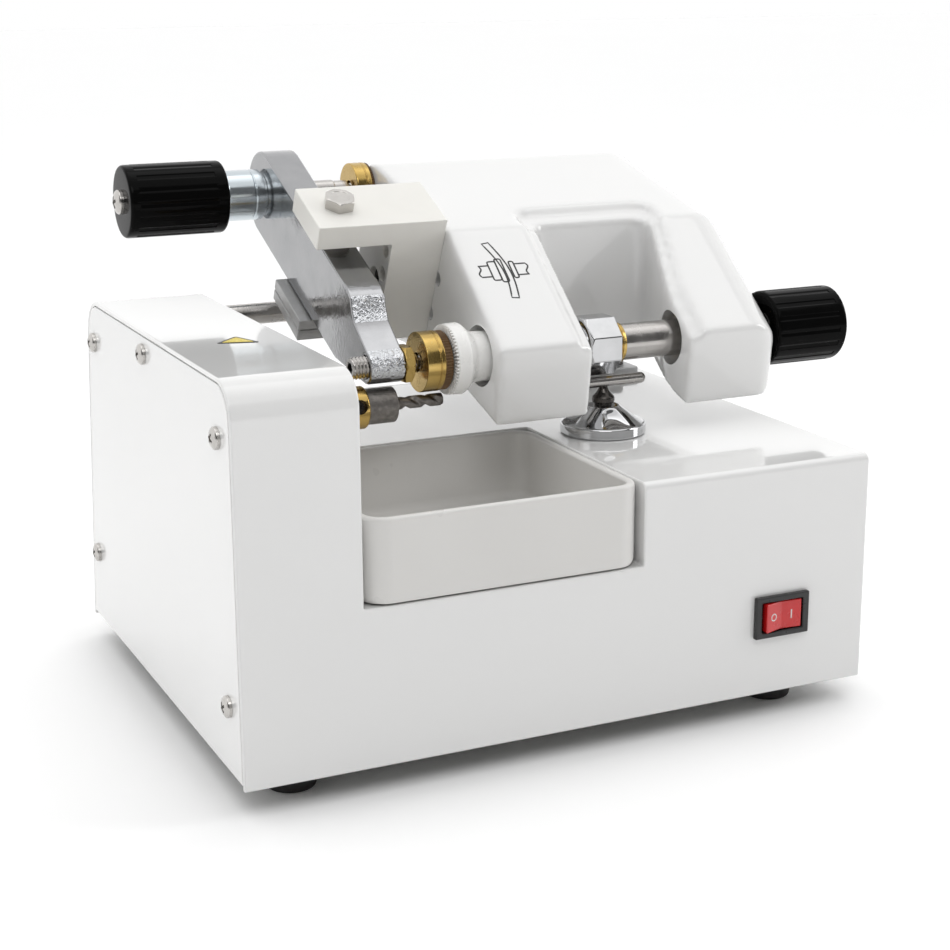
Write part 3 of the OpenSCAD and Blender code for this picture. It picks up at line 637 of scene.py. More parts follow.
# %% Base, cover and feet
hand_over(softened("base_shell", 0.8, "painted_base"), sprayed_white, "base", "white_paint",
          "base_shell")
hand_over(softened("side_cover", 0.35, "painted_cover"), sprayed_white, "base", "white_paint",
          "side_cover")
hand_over(softened("rubber_feet", 0.9, "round_feet"), foot_rubber, "base", "rubber",
          "rubber_feet")

# %% [markdown]
# ## Screws of the side cover and the mains inlet
# Each is a pan-head screw with a cross recess. One head is turned, the cross is cut with two
# crossed wedges, and the screw tree drives it into every hole at its own angle, as a fitter
# leaves them.


# %% A pan head with a cross recess
def cross_head(name, head_r, head_h, shank_l):
    """A screw standing on z, its head upwards, its shank below."""
    dome = [(head_r * math.cos(math.radians(a)), head_h * (0.35 + 0.65 * math.sin(math.radians(a))))
            for a in range(8, 91, 10)]
    profile = [(-shank_l, 0), (-shank_l, head_r * 0.45), (0, head_r * 0.45), (0, head_r)]
    profile += [(z, r) for r, z in dome[:-1]] + [(head_h, 0)]
    screw = turned(name, profile, (0, 0), 32, upright=True, ease=0.12, where=on_z)
    for turn_by in (0, 90):
        reach, half, low = head_r * 0.62, head_r * 0.13, head_h * 0.35
        box = [(-reach * 0.55, -half, low), (reach * 0.55, -half, low), (reach * 0.55, half, low),
               (-reach * 0.55, half, low), (-reach, -half, head_h + 1), (reach, -half, head_h + 1),
               (reach, half, head_h + 1), (-reach, half, head_h + 1)]
        swing = Matrix.Rotation(math.radians(turn_by), 3, "Z")
        wedge = made(name + "_wedge", [swing @ Vector(p) * MM for p in box],
                     [(0, 1, 2, 3), (4, 5, 6, 7), (0, 1, 5, 4), (1, 2, 6, 5), (2, 3, 7, 6),
                      (3, 0, 4, 7)])
        cut(screw, wedge)
    return smooth_faces(screw, 30)


def driven(name, screw, points, facing, seed, material=bolt_steel):
    """The screw in every hole, each turned by its own angle."""
    piece = grown(name, screw_tree, points_mesh(name, points), Screw=screw, Facing=facing,
                  Seed=seed, Finish=material)
    bpy.data.objects.remove(screw)
    return piece


cover_spots = [(161, 113), (93, 121), (13, 110), (12, 24.5), (173, 29)]
hand_over(driven("cover_screws", cross_head("cover_screw", 3.6, 2.35, 6),
                 [at(0, y, z) for y, z in cover_spots], (0, math.radians(-90), 0), 4),
          None, "base", "steel", "side_cover_screws")

REAR_LEAN = math.radians(8.13)
INLET_X, INLET_Z, INLET_REACH = 176, 34, 20
inlet_y = 187 - INLET_Z * math.tan(REAR_LEAN)
screw_face = Vector((0, math.cos(REAR_LEAN), math.sin(REAR_LEAN)))
hand_over(driven("inlet_fixings", cross_head("inlet_screw", 2.9, 1.6, 7),
                 [at(INLET_X + s * INLET_REACH, inlet_y, INLET_Z) + screw_face * 2.4 * MM
                  for s in (-1, 1)],
                 (REAR_LEAN - math.radians(90), 0, 0), 9),
          None, "base", "steel", "inlet_screws")

# %% [markdown]
# ## Label, switch and inlet
# A small yellow triangle sits on the left box; it stays blank here. The rocker switch is a
# glossy red lever in a black frame, with the usual circle and line moulded in white.

# %% The blank triangle
LABEL = (23, 63.5)
box_top = (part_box("blank_label")[0].z - corner.z) / MM
triangle = [(-7.2, -1.6), (6.7, -5.4), (2.3, 7.5)]
inner = [(x * 0.74 + 0.16, y * 0.74 + 0.04) for x, y in triangle]
hand_over(plan_prism("label_border", eased(triangle, 1.6), box_top, box_top + 0.12, LABEL),
          print_black, "base", "label", "blank_label")
hand_over(plan_prism("label_face", eased(inner, 1.0), box_top + 0.1, box_top + 0.2, LABEL),
          label_yellow, "base", "label")

# %% Switch frame, rocker and its two marks
hand_over(softened("switch_housing", 0.45, "switch_frame"), switch_black, "base",
          "black_plastic", "switch_housing")
hand_over(softened("switch_rocker", 0.4, "red_rocker", angle=20), switch_red, "rocker",
          "red_plastic", "switch_rocker")


def on_rocker(x, z, out):
    """A place on the rocker's front: the left half leans out and the right half leans in."""
    lean = -3.3 + (x + 7.3) * 2.2 / 7.3 if x < 0 else -1.1 - x * 0.6 / 7.8
    return at(195 + x, lean - out, 28.6 + z)


def rocker_mark(name, outer, inner=None):
    """A thin raised mark that follows the rocker's face: a plate, or a ring between two loops."""
    layers = [[on_rocker(x, z, out) for x, z in loop]
              for out in (-0.05, 0.1) for loop in ([outer, inner] if inner else [outer])]
    if not inner:
        return prism(name, *layers)
    n = len(outer)
    faces = []
    for i in range(n):
        j = (i + 1) % n
        faces += [(i, j, n + j, n + i), (2 * n + i, 2 * n + j, 3 * n + j, 3 * n + i),
                  (i, j, 2 * n + j, 2 * n + i), (n + i, n + j, 3 * n + j, 3 * n + i)]
    return made(name, [p for layer in layers for p in layer], faces)


def small_ring(radius):
    """A circle on the rocker's left half."""
    return arc(-3.9, 0, radius, 0, 360, 24)[:-1]


hand_over(rocker_mark("off_mark", small_ring(1.35), small_ring(1.0)), print_white, "rocker",
          "red_plastic")
hand_over(rocker_mark("on_mark", [(3.6, -1.6), (4.0, -1.6), (4.0, 1.6), (3.6, 1.6)]),
          print_white, "rocker", "red_plastic")
hand_over(softened("power_inlet", 0.5, "mains_inlet"), switch_black, "base", "black_plastic",
          "power_inlet")


# %% [markdown]
# ## The swarf tray
# A moulded tray slides out of the base. A mould leaves round corners, a soft rim and a wide
# round where the floor meets the walls, so the tray is lofted through a row of rounded
# rectangles: up the outside, over the rim and down the inside.


# %% Loft the tray
def rounded_rectangle(x0, x1, y0, y1, radius, z):
    """A level rectangle with round corners."""
    ring = []
    for cx, cy, first in ((x1 - radius, y1 - radius, 0), (x0 + radius, y1 - radius, 90),
                          (x0 + radius, y0 + radius, 180), (x1 - radius, y0 + radius, 270)):
        ring += [at(x, y, z) for x, y in arc(cx, cy, radius, first, first + 90, 8)]
    return ring


def lofted(name, rings):
    """A skin through a row of rings, closed at both ends."""
    n = len(rings[0])
    places = [p for ring in rings for p in ring]
    faces = [tuple(range(n)), tuple(range(len(places) - n, len(places)))]
    for i in range(len(rings) - 1):
        faces += [(i * n + k, i * n + (k + 1) % n, (i + 1) * n + (k + 1) % n, (i + 1) * n + k)
                  for k in range(n)]
    return made(name, places, faces)


tray_low, tray_high = [(c - corner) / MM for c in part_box("swarf_tray")]
WALL, RIM, FLOOR, FLOOR_ROUND, CORNER = 3.0, 1.1, 3, 4, 9


def quarter_round(angle):
    """How far in from the start, and how far short of the end, a quarter round is."""
    return 1 - math.cos(math.radians(angle)), 1 - math.sin(math.radians(angle))


rings = [(2.2, tray_low.z), (0.65, tray_low.z + 0.65), (0, tray_low.z + 2.2),
         (0, tray_high.z - RIM)]
for a in (30, 60, 90):
    inset, short = quarter_round(a)
    rings.append((RIM * inset, tray_high.z - RIM * short))
for a in (90, 60, 30, 0):
    inset, short = quarter_round(a)
    rings.append((WALL - RIM * inset, tray_high.z - RIM * short))
for a in range(0, 91, 15):
    inset, short = quarter_round(a)
    rings.append((WALL + FLOOR_ROUND * inset, tray_low.z + FLOOR + FLOOR_ROUND * short))
tray = lofted("moulded_tray", [rounded_rectangle(
    tray_low.x + i, tray_high.x - i, tray_low.y + i, tray_high.y - i, max(2.5, CORNER - i), z)
    for i, z in rings])
hand_over(smooth_faces(tray, 40), tray_plastic, "tray", "tray_plastic", "swarf_tray")

# %% [markdown]
# ## The head casting
# The head is a cast arm with thick glossy paint: every edge is soft, the right shoulder is a
# big round, and a shallow step frames the gap where the pattern turns. Modelling each fillet
# by hand would take long. Here a sharp block is cut to shape, remeshed to even small squares
# and relaxed, which rounds all its edges at once; the bores are cut last and stay crisp.

# %% Cut the head's block
head_low, head_high = [(c - corner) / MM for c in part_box("head_casting")]
ARM_FRONT, ARM_FOLD, TOP_FOLD, TOP_BACK = (56, 91.5), (52, 119), (96, 155), (164, 172.5)
BACK_R, HEAD_BACK, WEB = 18, 184, 104
LEFT_ARM_END, RIGHT_ARM = 150, 189
SLOPE = (TOP_FOLD[1] - ARM_FOLD[1]) / (TOP_FOLD[0] - ARM_FOLD[0])
RISE = (TOP_BACK[1] - TOP_FOLD[1]) / (TOP_BACK[0] - TOP_FOLD[0])
back_centre = (HEAD_BACK - BACK_R, TOP_BACK[1] - BACK_R)
side_view = [ARM_FRONT, ARM_FOLD, TOP_FOLD] + arc(*back_centre, BACK_R, 105, 0, 16) + [
    (HEAD_BACK, 118), (168, 106.5), (WEB, 106.5)]
block = pulled("head_block", side_view, head_low.x, head_high.x)


def gap_plan(side, rear, ease):
    """The gap between the arms seen from above, made wider by side and deeper by rear."""
    plan = [(LEFT_ARM_END - side, 0), (RIGHT_ARM + side, 0), (RIGHT_ARM + side, LENS[0]),
            (RIGHT_ARM + 10 + side, WEB + rear), (LEFT_ARM_END - side, WEB + rear)]
    return eased(plan, ease)


def shoulder_round(name, start, slope, length, radius):
    """What a big edge round takes off the right end of a sloping face."""
    quarter = [(1, 1), (1, -radius)] + arc(-radius, -radius, radius, 0, 90, 10) + [(-radius, 1)]
    along = Vector((0, math.cos(slope), math.sin(slope)))
    over = Vector((0, -math.sin(slope), math.cos(slope)))
    base = at(head_high.x, *start)
    return prism(name, *([base + (Vector((a, 0, 0)) + over * b + along * reach) * MM
                          for a, b in quarter] for reach in (-14, length + 14)))


cut(block, plan_prism("gap", gap_plan(0, 0, 7)))
step_side = pulled("step_side", [
    (40, ARM_FOLD[1] - 12 * SLOPE - 3), (TOP_FOLD[0], TOP_FOLD[1] - 3),
    (140, TOP_FOLD[1] + (140 - TOP_FOLD[0]) * RISE - 3), (140, 200), (40, 200)], 120, 230)
cut(step_side, plan_prism("step_plan", gap_plan(5, 6.5, 8)), operation="INTERSECT")
cut(block, step_side)
front_lean = math.atan2(ARM_FOLD[1] - ARM_FRONT[1], ARM_FOLD[0] - ARM_FRONT[0])
cut(block, shoulder_round("front_edge", ARM_FRONT, front_lean, 28, 8),
    shoulder_round("front_shoulder", ARM_FOLD, math.atan(SLOPE), 57, 12),
    shoulder_round("top_shoulder", TOP_FOLD, math.atan(RISE), 84, 12))
with_modifier(block, "REMESH", mode="VOXEL", voxel_size=1.0 * MM)
with_modifier(block, "SMOOTH", factor=0.5, iterations=24)
print("head block relaxed:", len(block.data.polygons), "faces")


# %% Bore and hollow the head
def bore(x0, x1, radius, axis, steps=64):
    """A plain round cutter along x."""
    return turned("bore", [(x0, 0), (x0, radius), (x1, radius), (x1, 0)], axis, steps, ease=0)


hollow = pulled("hollow", [(WEB + 5, 100), (WEB + 5, 152)] + arc(*back_centre, BACK_R - 5, 105, 0)
                + [(HEAD_BACK - 5, 100)], head_low.x + 5, head_high.x - 8)
cut(hollow, bore(head_low.x - 1, head_low.x + 12, 11, PIVOT),
    bore(head_high.x - 12, head_high.x + 1, 11, PIVOT))
cut(block, hollow, bore(head_low.x - 1, head_high.x + 1, 6, PIVOT),
    bore(head_low.x - 1, head_low.x + 9, 10.85, LENS),
    bore(head_low.x, LEFT_ARM_END + 1, 9.02, LENS),
    bore(RIGHT_ARM - 2, RIGHT_ARM + 11, 10, LENS),
    bore(RIGHT_ARM, head_high.x + 1, 9.02, LENS))
holder_holes = [(41.2, 5.0, 2.7), (42, -10.4, 2.7), (61.5, 13, 2.5), (52, 0.2, 2.5)]
for u, w, radius in holder_holes:
    spot = (on_lever(0, u, w) - corner) / MM
    cut(block, bore(head_low.x - 1, head_low.x + 6, radius, (spot.y, spot.z), 32))
hand_over(smooth_faces(block, 38), sprayed_white, "head", "white_paint", "head_casting")
block.name = "painted_head"

# %% [markdown]
# ## The printed sign on the left arm
# A plain line drawing shows how the lens is held between two shafts. It is thin ink, so each
# line becomes a flat strip a few hundredths of a millimetre proud of the paint.


# %% Draw the sign
def on_slope(x, s, lift):
    """A place on the arm's sloping front: s runs up the slope from its lower fold."""
    lean = math.atan(SLOPE)
    y = ARM_FOLD[0] + s * math.cos(lean) - lift * math.sin(lean)
    z = ARM_FOLD[1] + s * math.sin(lean) + lift * math.cos(lean)
    return at(x, y, z)


def ink_line(points, width=0.6, closed=False):
    """One line of ink as a thin strip: its places and faces."""
    pts = [Vector(p) for p in points]
    n = len(pts)
    places, faces = [], []
    for i, p in enumerate(pts):
        before = pts[i - 1] if i or closed else p
        after = pts[(i + 1) % n] if i < n - 1 or closed else p
        way = (after - before).normalized()
        side = Vector((-way.y, way.x)) * width / 2
        for q, lift in ((p + side, -0.08), (p - side, -0.08), (p - side, 0.05), (p + side, 0.05)):
            places.append(on_slope(q.x, q.y, lift))
    for i in range(n if closed else n - 1):
        a, b = 4 * i, 4 * ((i + 1) % n)
        faces += [(a + k, a + (k + 1) % 4, b + (k + 1) % 4, b + k) for k in range(4)]
    if not closed:
        faces += [(3, 2, 1, 0), tuple(4 * (n - 1) + k for k in range(4))]
    return places, faces


def bow(x, bulge, s0, s1, bits=14):
    """A leaning line that bulges to one side, like a lens seen edge on."""
    return [(x + bulge * math.sin(math.pi * i / bits) - 2.4 * (0.5 - i / bits),
             s0 + (s1 - s0) * i / bits) for i in range(bits + 1)]


SIGN_X, SIGN_S = 127.6, 36.2
strokes = [(bow(SIGN_X + 0.1, 2.4, 49.6, 23.0)[::-1] + bow(SIGN_X - 2.6, 2.6, 49.2, 23.4), True)]
for x0, x1, half in ((-5.0, -1.9, 4.4), (-1.9, 0.6, 5.4), (3.2, 5.0, 3.9)):
    box = [(SIGN_X + x0, SIGN_S - half), (SIGN_X + x1, SIGN_S - half),
           (SIGN_X + x1, SIGN_S + half), (SIGN_X + x0, SIGN_S + half)]
    strokes.append((eased(box, 0.8), True))
for end, root, half in ((-9.0, -5.0, 2.6), (9.4, 5.0, 2.6)):
    wave = [(SIGN_X + end + 0.7 * math.sin(math.pi * t / 4), SIGN_S + half - half * t / 4)
            for t in range(9)]
    strokes.append(([(SIGN_X + root, SIGN_S + half)] + wave + [(SIGN_X + root, SIGN_S - half)],
                    False))
ink_places, ink_faces = [], []
for stroke, loop in strokes:
    places, faces = ink_line(stroke, closed=loop)
    ink_faces += [tuple(i + len(ink_places) for i in f) for f in faces]
    ink_places += places
hand_over(made("clamping_sign", ink_places, ink_faces), print_black, "head", "black_plastic")

# %% [markdown]
# ## The lever's holder
# A cream-painted bracket bolted to the head carries the clamp lever: its flange lies over the
# lever, a plate lies under it, and an M6 bolt goes through all three. The plate stands for the
# bracket's cream lower flange in shadow and is painted grey metal: painted shade. The bolt is a
# stock hexagon head, which is a prism cut by a shallow cone so that its corners are taken off.

# %% Bracket and lower plate
hand_over(softened("lever_bracket", 0.45, "painted_bracket"), bracket_cream, "head",
          "cream_paint", "lever_bracket")
# The plate's grey metal finish is painted shade: the bracket's cream lower flange as it looks in
# shadow.
under_plate = softened("fulcrum_plate", 0.0, "under_plate")
for slit_end, x1 in ((80, 66.7), (51.8, 94)):
    cut(under_plate, pulled("slit", [(50, -20.1), (slit_end, -20.1), (slit_end, -19.6),
                                     (50, -19.6)], 65, x1, on_lever))
hand_over(rounded(under_plate, 0.5), cast_grey, "head", "grey_cast", "fulcrum_plate")


# %% Hexagon heads and nuts
def hexagon_prism(name, across, low, high, where, centre=(0, 0), turn_by=0):
    """A hexagon standing on its axis, from low to high."""
    ring = arc(*centre, across / math.sqrt(3), turn_by, turn_by + 360, 6)[:-1]
    return prism(name, *([where(a, b, along) for a, b in ring] for along in (low, high)))


def hexagon_head(name, across, low, high, where, centre=(0, 0), turn_by=0, both=False):
    """A hexagon with its corners taken off by a cone, at the top or at both ends."""
    blank = hexagon_prism(name, across, low, high, where, centre, turn_by)
    side, flat = across / math.sqrt(3), across / 2 * 0.97
    drop = (side - flat) * 0.58
    profile = [(low, 0), (low, flat if both else side + 1)]
    if both:
        profile.append((low + drop, side + 0.02))
    profile += [(high - drop, side + 0.02), (high, flat), (high, 0)]
    cone = turned(name + "_cone", profile, centre, 48, upright=True, ease=0, where=where)
    return cut(blank, cone, operation="INTERSECT")


def on_bolt(a, b, along):
    """A place round the bolt: its axis stands on the flange."""
    return on_lever(76.5 + a, 55.5 + b, along)


plate_bottom, flange_top = -24.2, 29.4
bolt = hexagon_head("holder_bolt", 10, flange_top, flange_top + 4, on_bolt, turn_by=12)
shank = turned("shank", [(plate_bottom, 0), (plate_bottom, 3), (flange_top + 1, 3),
                         (flange_top + 1, 0)], (0, 0), 40, upright=True, ease=0, where=on_bolt)
dish = turned("dish", [(flange_top + 3.75, 0), (flange_top + 3.75, 3.3), (flange_top + 4.3, 3.6),
                       (flange_top + 4.3, 0)], (0, 0), 40, upright=True, ease=0, where=on_bolt)
cut(bolt, dish)
cut(bolt, shank, operation="UNION")
hand_over(rounded(bolt, 0.14, 2, 25), bolt_steel, "head", "steel", "fulcrum_bolt")

# %% [markdown]
# ## The clamp lever
# The lever is a chromed casting. Its broad sides were polished smooth, while the narrow edge
# at the step and round the boss keeps the pebbled skin of the sand. One mesh carries both
# finishes: faces near the step that look along the edge get the rougher chrome.

# %% Lever with two finishes
pebbled_chrome = finish("pebbled_chrome", (0.70, 0.71, 0.725), (0.42, 0.43, 0.45), 0.16,
                        metallic=1, patch=420, grain=760, bump=0.9, depth=0.0009,
                        rough_spread=0.05)
lever = softened("clamp_lever", 0.8, "chromed_lever", angle=32)
hand_over(lever, lever_chrome, "lever", "chrome", "clamp_lever")
lever.data.materials.append(pebbled_chrome)
boss_low = on_lever(0, 0, 0)
up_lever = Vector((0, math.cos(LEVER_TILT), math.sin(LEVER_TILT)))
out_lever = Vector((0, -math.sin(LEVER_TILT), math.cos(LEVER_TILT)))
for face in lever.data.polygons:
    u = (face.center - boss_low).dot(up_lever) / MM
    narrow = abs(face.normal.x) < 0.4 and face.normal.dot(out_lever) > -0.2
    if narrow and (u < 3.5 or 12.5 < u < 21.5):
        face.material_index = 1
print("pebbled faces:", sum(f.material_index for f in lever.data.polygons))

# %% [markdown]
# ## The clamp screw and its brass disc
# An M8 grub screw with a hexagon socket runs through the lever's boss and is locked by a brass
# nut. The thread is one surface: its radius rises and falls with the turn and the pitch.


# %% Threads, nut and disc
def threaded(name, x0, x1, radius, pitch, axis, depth=0.6):
    """A rod with a real thread along x."""
    count = int((x1 - x0) / pitch * 9)

    def ridge(along, angle, r):
        if r != radius:
            return r
        phase = (along / pitch - angle / (2 * math.pi)) % 1
        tooth = abs(phase - 0.5) * 2
        fade = min(1, (along - x0) / 0.8, (x1 - along) / 0.8)
        return r - depth * (tooth * max(0, fade) + max(0, 1 - fade))

    profile = [(x0, 0), (x0, radius - depth)]
    profile += [(x0 + (x1 - x0) * i / count, radius) for i in range(1, count)]
    profile += [(x1, radius - depth), (x1, 0)]
    return turned(name, profile, axis, 48, shape=ridge, ease=0)


def along_x(a, b, along):
    """A place round an axis that runs along x."""
    return at(along, a, b)


grub = threaded("grub_screw", 64.6, 88.2, 4, 1.25, LENS)
socket = hexagon_prism("socket", 4, 64, 69, along_x, LENS)
hand_over(smooth_faces(cut(grub, socket), 50), turned_steel, "lever", "dark_steel", "clamp_screw")

nut = hexagon_head("lock_nut", 12.12, 83, 86.5, along_x, LENS, both=True)
cut(nut, bore(82, 89, 4.01, LENS, 48))
hand_over(rounded(nut, 0.12, 2, 25), turned_brass, "lever", "brass", "clamp_lock_nut")


def serrated(teeth, depth, rim):
    """Small pointed teeth on whatever lies outside the radius rim."""
    def tooth(along, angle, r):
        return r - depth * abs((angle * teeth / (2 * math.pi)) % 1 - 0.5) * 2 if r > rim else r
    return tooth


disc = turned("lens_disc", [(95.4, 0), (95.4, 3.35), (89.2, 3.35), (89.2, 10.5), (93.9, 10.5),
                            (94.05, 10.25), (94.35, 10.25), (94.5, 10.5), (95.9, 10.5),
                            (95.9, 0)], LENS, 96, ease=0.35)
hand_over(smooth_faces(disc), turned_brass, "clamp_foot", "brass", "clamp_disc")
pad = turned("lens_pad", [(97.1, 0), (97.1, 6), (98.7, 6), (98.7, 10.3), (95.9, 10.3),
                          (95.9, 0)], LENS, 240, shape=serrated(60, 0.45, 10), ease=0)
hand_over(smooth_faces(pad, 50), grip_leather, "clamp_foot", "leather", "clamp_pad")

# %% [markdown]
# ## The white cup
# The lens rests against a white moulded cup whose rim carries a ring of fine grip teeth. The
# cup is turned in one go, and the ring tree sets sixty teeth round the rim.

# %% Cup and grip teeth
cup = turned("lens_cup", [(102.8, 0), (102.8, 9), (99.9, 9.3), (99.9, 12.3), (104.7, 12.5),
                          (108.7, 8.9), (121.8, 8.5), (121.8, 6.01), (115, 6.01), (115, 0)],
             LENS, 96, ease=0.5)
hand_over(smooth_faces(cup), cup_plastic, "lens_spindle", "white_plastic", "chuck_cup")
hand_over(grown("cup_teeth", ring_tree, Count=60, Radius=10.9 * MM,
                Tooth=(2.6 * MM, 0.5 * MM, 1.7 * MM), Centre=at(100.0, *LENS),
                Finish=cup_plastic), None, "lens_spindle", "white_plastic")

# %% [markdown]
# ## The lens shaft and the pattern's seat
# The shaft is ground steel. Right of the left arm it carries a chromed hub, an octagonal
# collar that seats the pattern, and a brass ring. Two brass bushes carry it in the arms.

# %% Shaft, hub, collar and ring
shaft = turned("ground_shaft", [(115, 0), (115, 6), (168.1, 6), (168.1, 6.6), (199.8, 6.6),
                                (199.8, 6), (244, 6), (244, 0)], LENS, 96, ease=0.25)
hand_over(smooth_faces(shaft), turned_steel, "lens_spindle", "steel", "lens_shaft")
hub = turned("chromed_hub", [(150.4, 6.01), (150.4, 7.2), (150.8, 7.6), (151.9, 7.6),
                             (151.9, 6.01)], LENS, 96, ease=0.25, closed=True)
hand_over(smooth_faces(hub), bright_chrome, "lens_spindle", "chrome", "pattern_hub")
hand_over(softened("pattern_collar", 0.35, "octagon_collar"), bright_chrome, "lens_spindle",
          "chrome", "pattern_collar")
ring_piece = turned("brass_ring", [(164.4, 6.01), (164.4, 7.6), (166, 7.6), (166.2, 7.2),
                                   (166.5, 7.2), (166.7, 7.6), (168.1, 7.3), (168.1, 6.01)],
                    LENS, 96, ease=0.2, closed=True)
hand_over(smooth_faces(ring_piece), turned_brass, "lens_spindle", "brass", "pattern_ring")
for name, x0, x1, replaced in (("left_bush", 122.2, 149, ("shaft_bushes",)),
                               ("right_bush", 200.2, 224.6, ())):
    sleeve_bush = turned(name, [(x0, 6.05), (x0, 9), (x1, 9), (x1, 6.05)], LENS, 64, ease=0.3,
                         closed=True)
    hand_over(smooth_faces(sleeve_bush), turned_brass, "head", "brass", *replaced)

# %% [markdown]
# ## The two knobs
# Both knobs are glossy black mouldings with shallow finger grooves that stop short of the
# rounded end. A plain knob is turned first, then the groove tree cuts sixteen grooves at once.

# %% Grooved knobs
GROOVES, GROOVE_RADIUS, GROOVE_OUT = 16, 2.85, 2.5


def grooved(name, profile, axis, radius, x0, x1, closed=False):
    """A turned knob with finger grooves from x0 to x1."""
    blank = turned(name + "_blank", profile, axis, 128, ease=1.5, closed=closed)
    knob = grown(name, groove_tree, blank.data.copy(), Count=GROOVES,
                 Ring_radius=(radius + GROOVE_OUT) * MM, Groove_radius=GROOVE_RADIUS * MM,
                 Length=(x1 - x0) * MM, Centre=at((x0 + x1) / 2, *axis), Finish=knob_black)
    bpy.data.objects.remove(blank)
    tidy_mesh(knob.data)
    return rounded(knob, 0.12, 2, 28)


right_knob = grooved("right_knob", [(244, 0), (244, 6.01), (228.6, 6.01), (228.6, 14),
                                    (259, 14), (259, 0)], LENS, 14, 225, 255.5)
hand_over(right_knob, None, "lens_spindle", "black_plastic", "turning_knob")
left_knob = grooved("left_knob", [(15.8, 2.01), (15.8, 13.5), (53.7, 13.5), (53.7, 4.01),
                                  (30, 4.01), (30, 2.01)], KNOB, 13.5, 19.5, 49, closed=True)
hand_over(left_knob, None, "knob", "black_plastic", "clamp_knob")

# %% [markdown]
# ## The push screw
# The left knob turns a smooth rod that ends in a swivelling brass disc against the head. The
# rod passes a zinc-plated sleeve on the lever, and a cross-head screw holds the knob on it.

# %% Sleeve, rod, end screw and disc
sleeve = turned("zinc_sleeve", [(54.1, 4.05), (54.1, 9.2), (54.7, 9.5), (64.6, 9.5), (64.8, 9.2),
                                (65.2, 9.2), (65.4, 9.5), (68.5, 9.5), (68.5, 8), (70, 8),
                                (70, 4.05)], KNOB, 96, ease=0.2, closed=True)
hand_over(smooth_faces(sleeve), blue_zinc, "lever", "zinc", "knob_sleeve")
rod_piece = turned("push_rod", [(15.8, 0), (15.8, 2), (30, 2), (30, 4), (98.5, 4), (98.7, 3.6),
                                (104.2, 3.6), (104.2, 0)], KNOB, 72, ease=0.2)
hand_over(smooth_faces(rod_piece), turned_steel, "knob", "steel", "push_screw")
end_screw = cross_head("knob_end_screw", 4.6, 3.1, 0.5)
end_screw.data.transform(Matrix.Translation(at(15.8, *KNOB)) @ Matrix.Rotation(
    math.radians(-90), 4, "Y") @ Matrix.Rotation(math.radians(20), 4, "Z"))
hand_over(end_screw, bolt_steel, "knob", "steel")
far_disc = turned("push_seat", [(111.5, 0), (111.5, 3.35), (105.6, 3.35), (105.6, 9.8),
                                (106, 10), (109.6, 10), (109.8, 9.7), (110.1, 9.7), (110.3, 10),
                                (111.8, 10), (111.8, 0)], KNOB, 96, ease=0.25)
hand_over(smooth_faces(far_disc), turned_brass, "push_foot", "brass", "push_disc")
far_pad = turned("push_seat_pad", [(111.8, 0), (111.8, 9.8), (112.8, 9.8), (112.8, 0)], KNOB,
                 240, shape=serrated(60, 0.4, 9), ease=0)
hand_over(smooth_faces(far_pad, 50), grip_leather, "push_foot", "leather", "push_pad")

# %% [markdown]
# ## The cutter
# The spindle ends in a brass collar, a dark bush and a small end mill. The mill's two flutes
# wind round it, so its radius depends on the angle and on how far along it we are.

# %% Collar, bush and mill
collar = turned("cutter_seat", [(42, 4.01), (42, 7.4), (60.2, 7.4), (60.4, 7.1), (60.8, 7.1),
                                (61, 7.4), (68.6, 7.4), (69.2, 7.0), (69.2, 4.01)], CUTTER,
                96, ease=0.25, closed=True)
GRUB_X, GRUB_TURN = 65.6, math.radians(14)


def to_grub(along, a, b):
    """A place on the grub screw's hole, which points forward and a little upwards."""
    ahead, over = along - CUTTER[0], b - CUTTER[1]
    return at(a, CUTTER[0] + ahead * math.cos(GRUB_TURN) + over * math.sin(GRUB_TURN),
              CUTTER[1] - ahead * math.sin(GRUB_TURN) + over * math.cos(GRUB_TURN))


hole = turned("hole", [(CUTTER[0] - 9, 0), (CUTTER[0] - 9, 2.5), (CUTTER[0], 2.5),
                       (CUTTER[0], 0)], (GRUB_X, CUTTER[1]), 32, ease=0, where=to_grub)
cut(collar, hole)
hand_over(smooth_faces(collar), turned_brass, "spindle", "brass", "cutter_collar")
bush = turned("mill_bush", [(57, 0), (57, 4), (69.2, 4), (69.2, 6.2), (80, 6.2), (80, 1.61),
                            (70, 1.61), (70, 0)], CUTTER, 72, ease=0.4)
hand_over(smooth_faces(bush), mottled_bush, "spindle", "dark_steel", "cutter_bush")


MILL_NECK, MILL_R, FLUTE_DEPTH, FLUTE_WIND = 81.5, 2.2, 0.42, 0.42


def fluted(along, angle, r):
    """The mill's radius: two flutes that wind as they go along it."""
    if along < MILL_NECK or r < 2:
        return r
    wind = math.cos(2 * (angle - (along - MILL_NECK) * FLUTE_WIND))
    return r * (1 - FLUTE_DEPTH * max(0, wind) ** 0.8)


mill_profile = [(71, 0), (71, 1.6), (MILL_NECK, 1.6), (82.1, MILL_R)]
mill_profile += [(82.1 + 16 * i / 70, MILL_R) for i in range(1, 71)] + [(98.3, 1.9), (98.3, 0)]
mill = turned("end_mill", mill_profile, CUTTER, 48, shape=fluted, ease=0)
hand_over(smooth_faces(mill, 40), mottled_bush, "spindle", "steel", "milling_cutter")

# %% [markdown]
# ## The size dial and the tracer
# The pattern rides on a steel pin. The pin's black cone stands in a chromed dial: a flat rim
# under a fluted cone, turned by finger to raise or lower the pin and so set the lens's size.

# %% Dial, tracer and pin
dial_low = (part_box("size_dial")[0].z - corner.z) / MM
DIAL = (162.5, LENS[0])
DIAL_RIM, DIAL_CONE = 4, 5.9


def petals(along, angle, r):
    """The dial's radius: four finger hollows in the cone above the rim."""
    height = (along - dial_low - DIAL_RIM) / DIAL_CONE
    if height <= 0.02 or r < 4:
        return r
    return r - 2.3 * math.sin(math.pi * min(1, 0.12 + height * 0.95)) * max(
        0, math.cos(4 * angle + 0.5)) ** 0.6


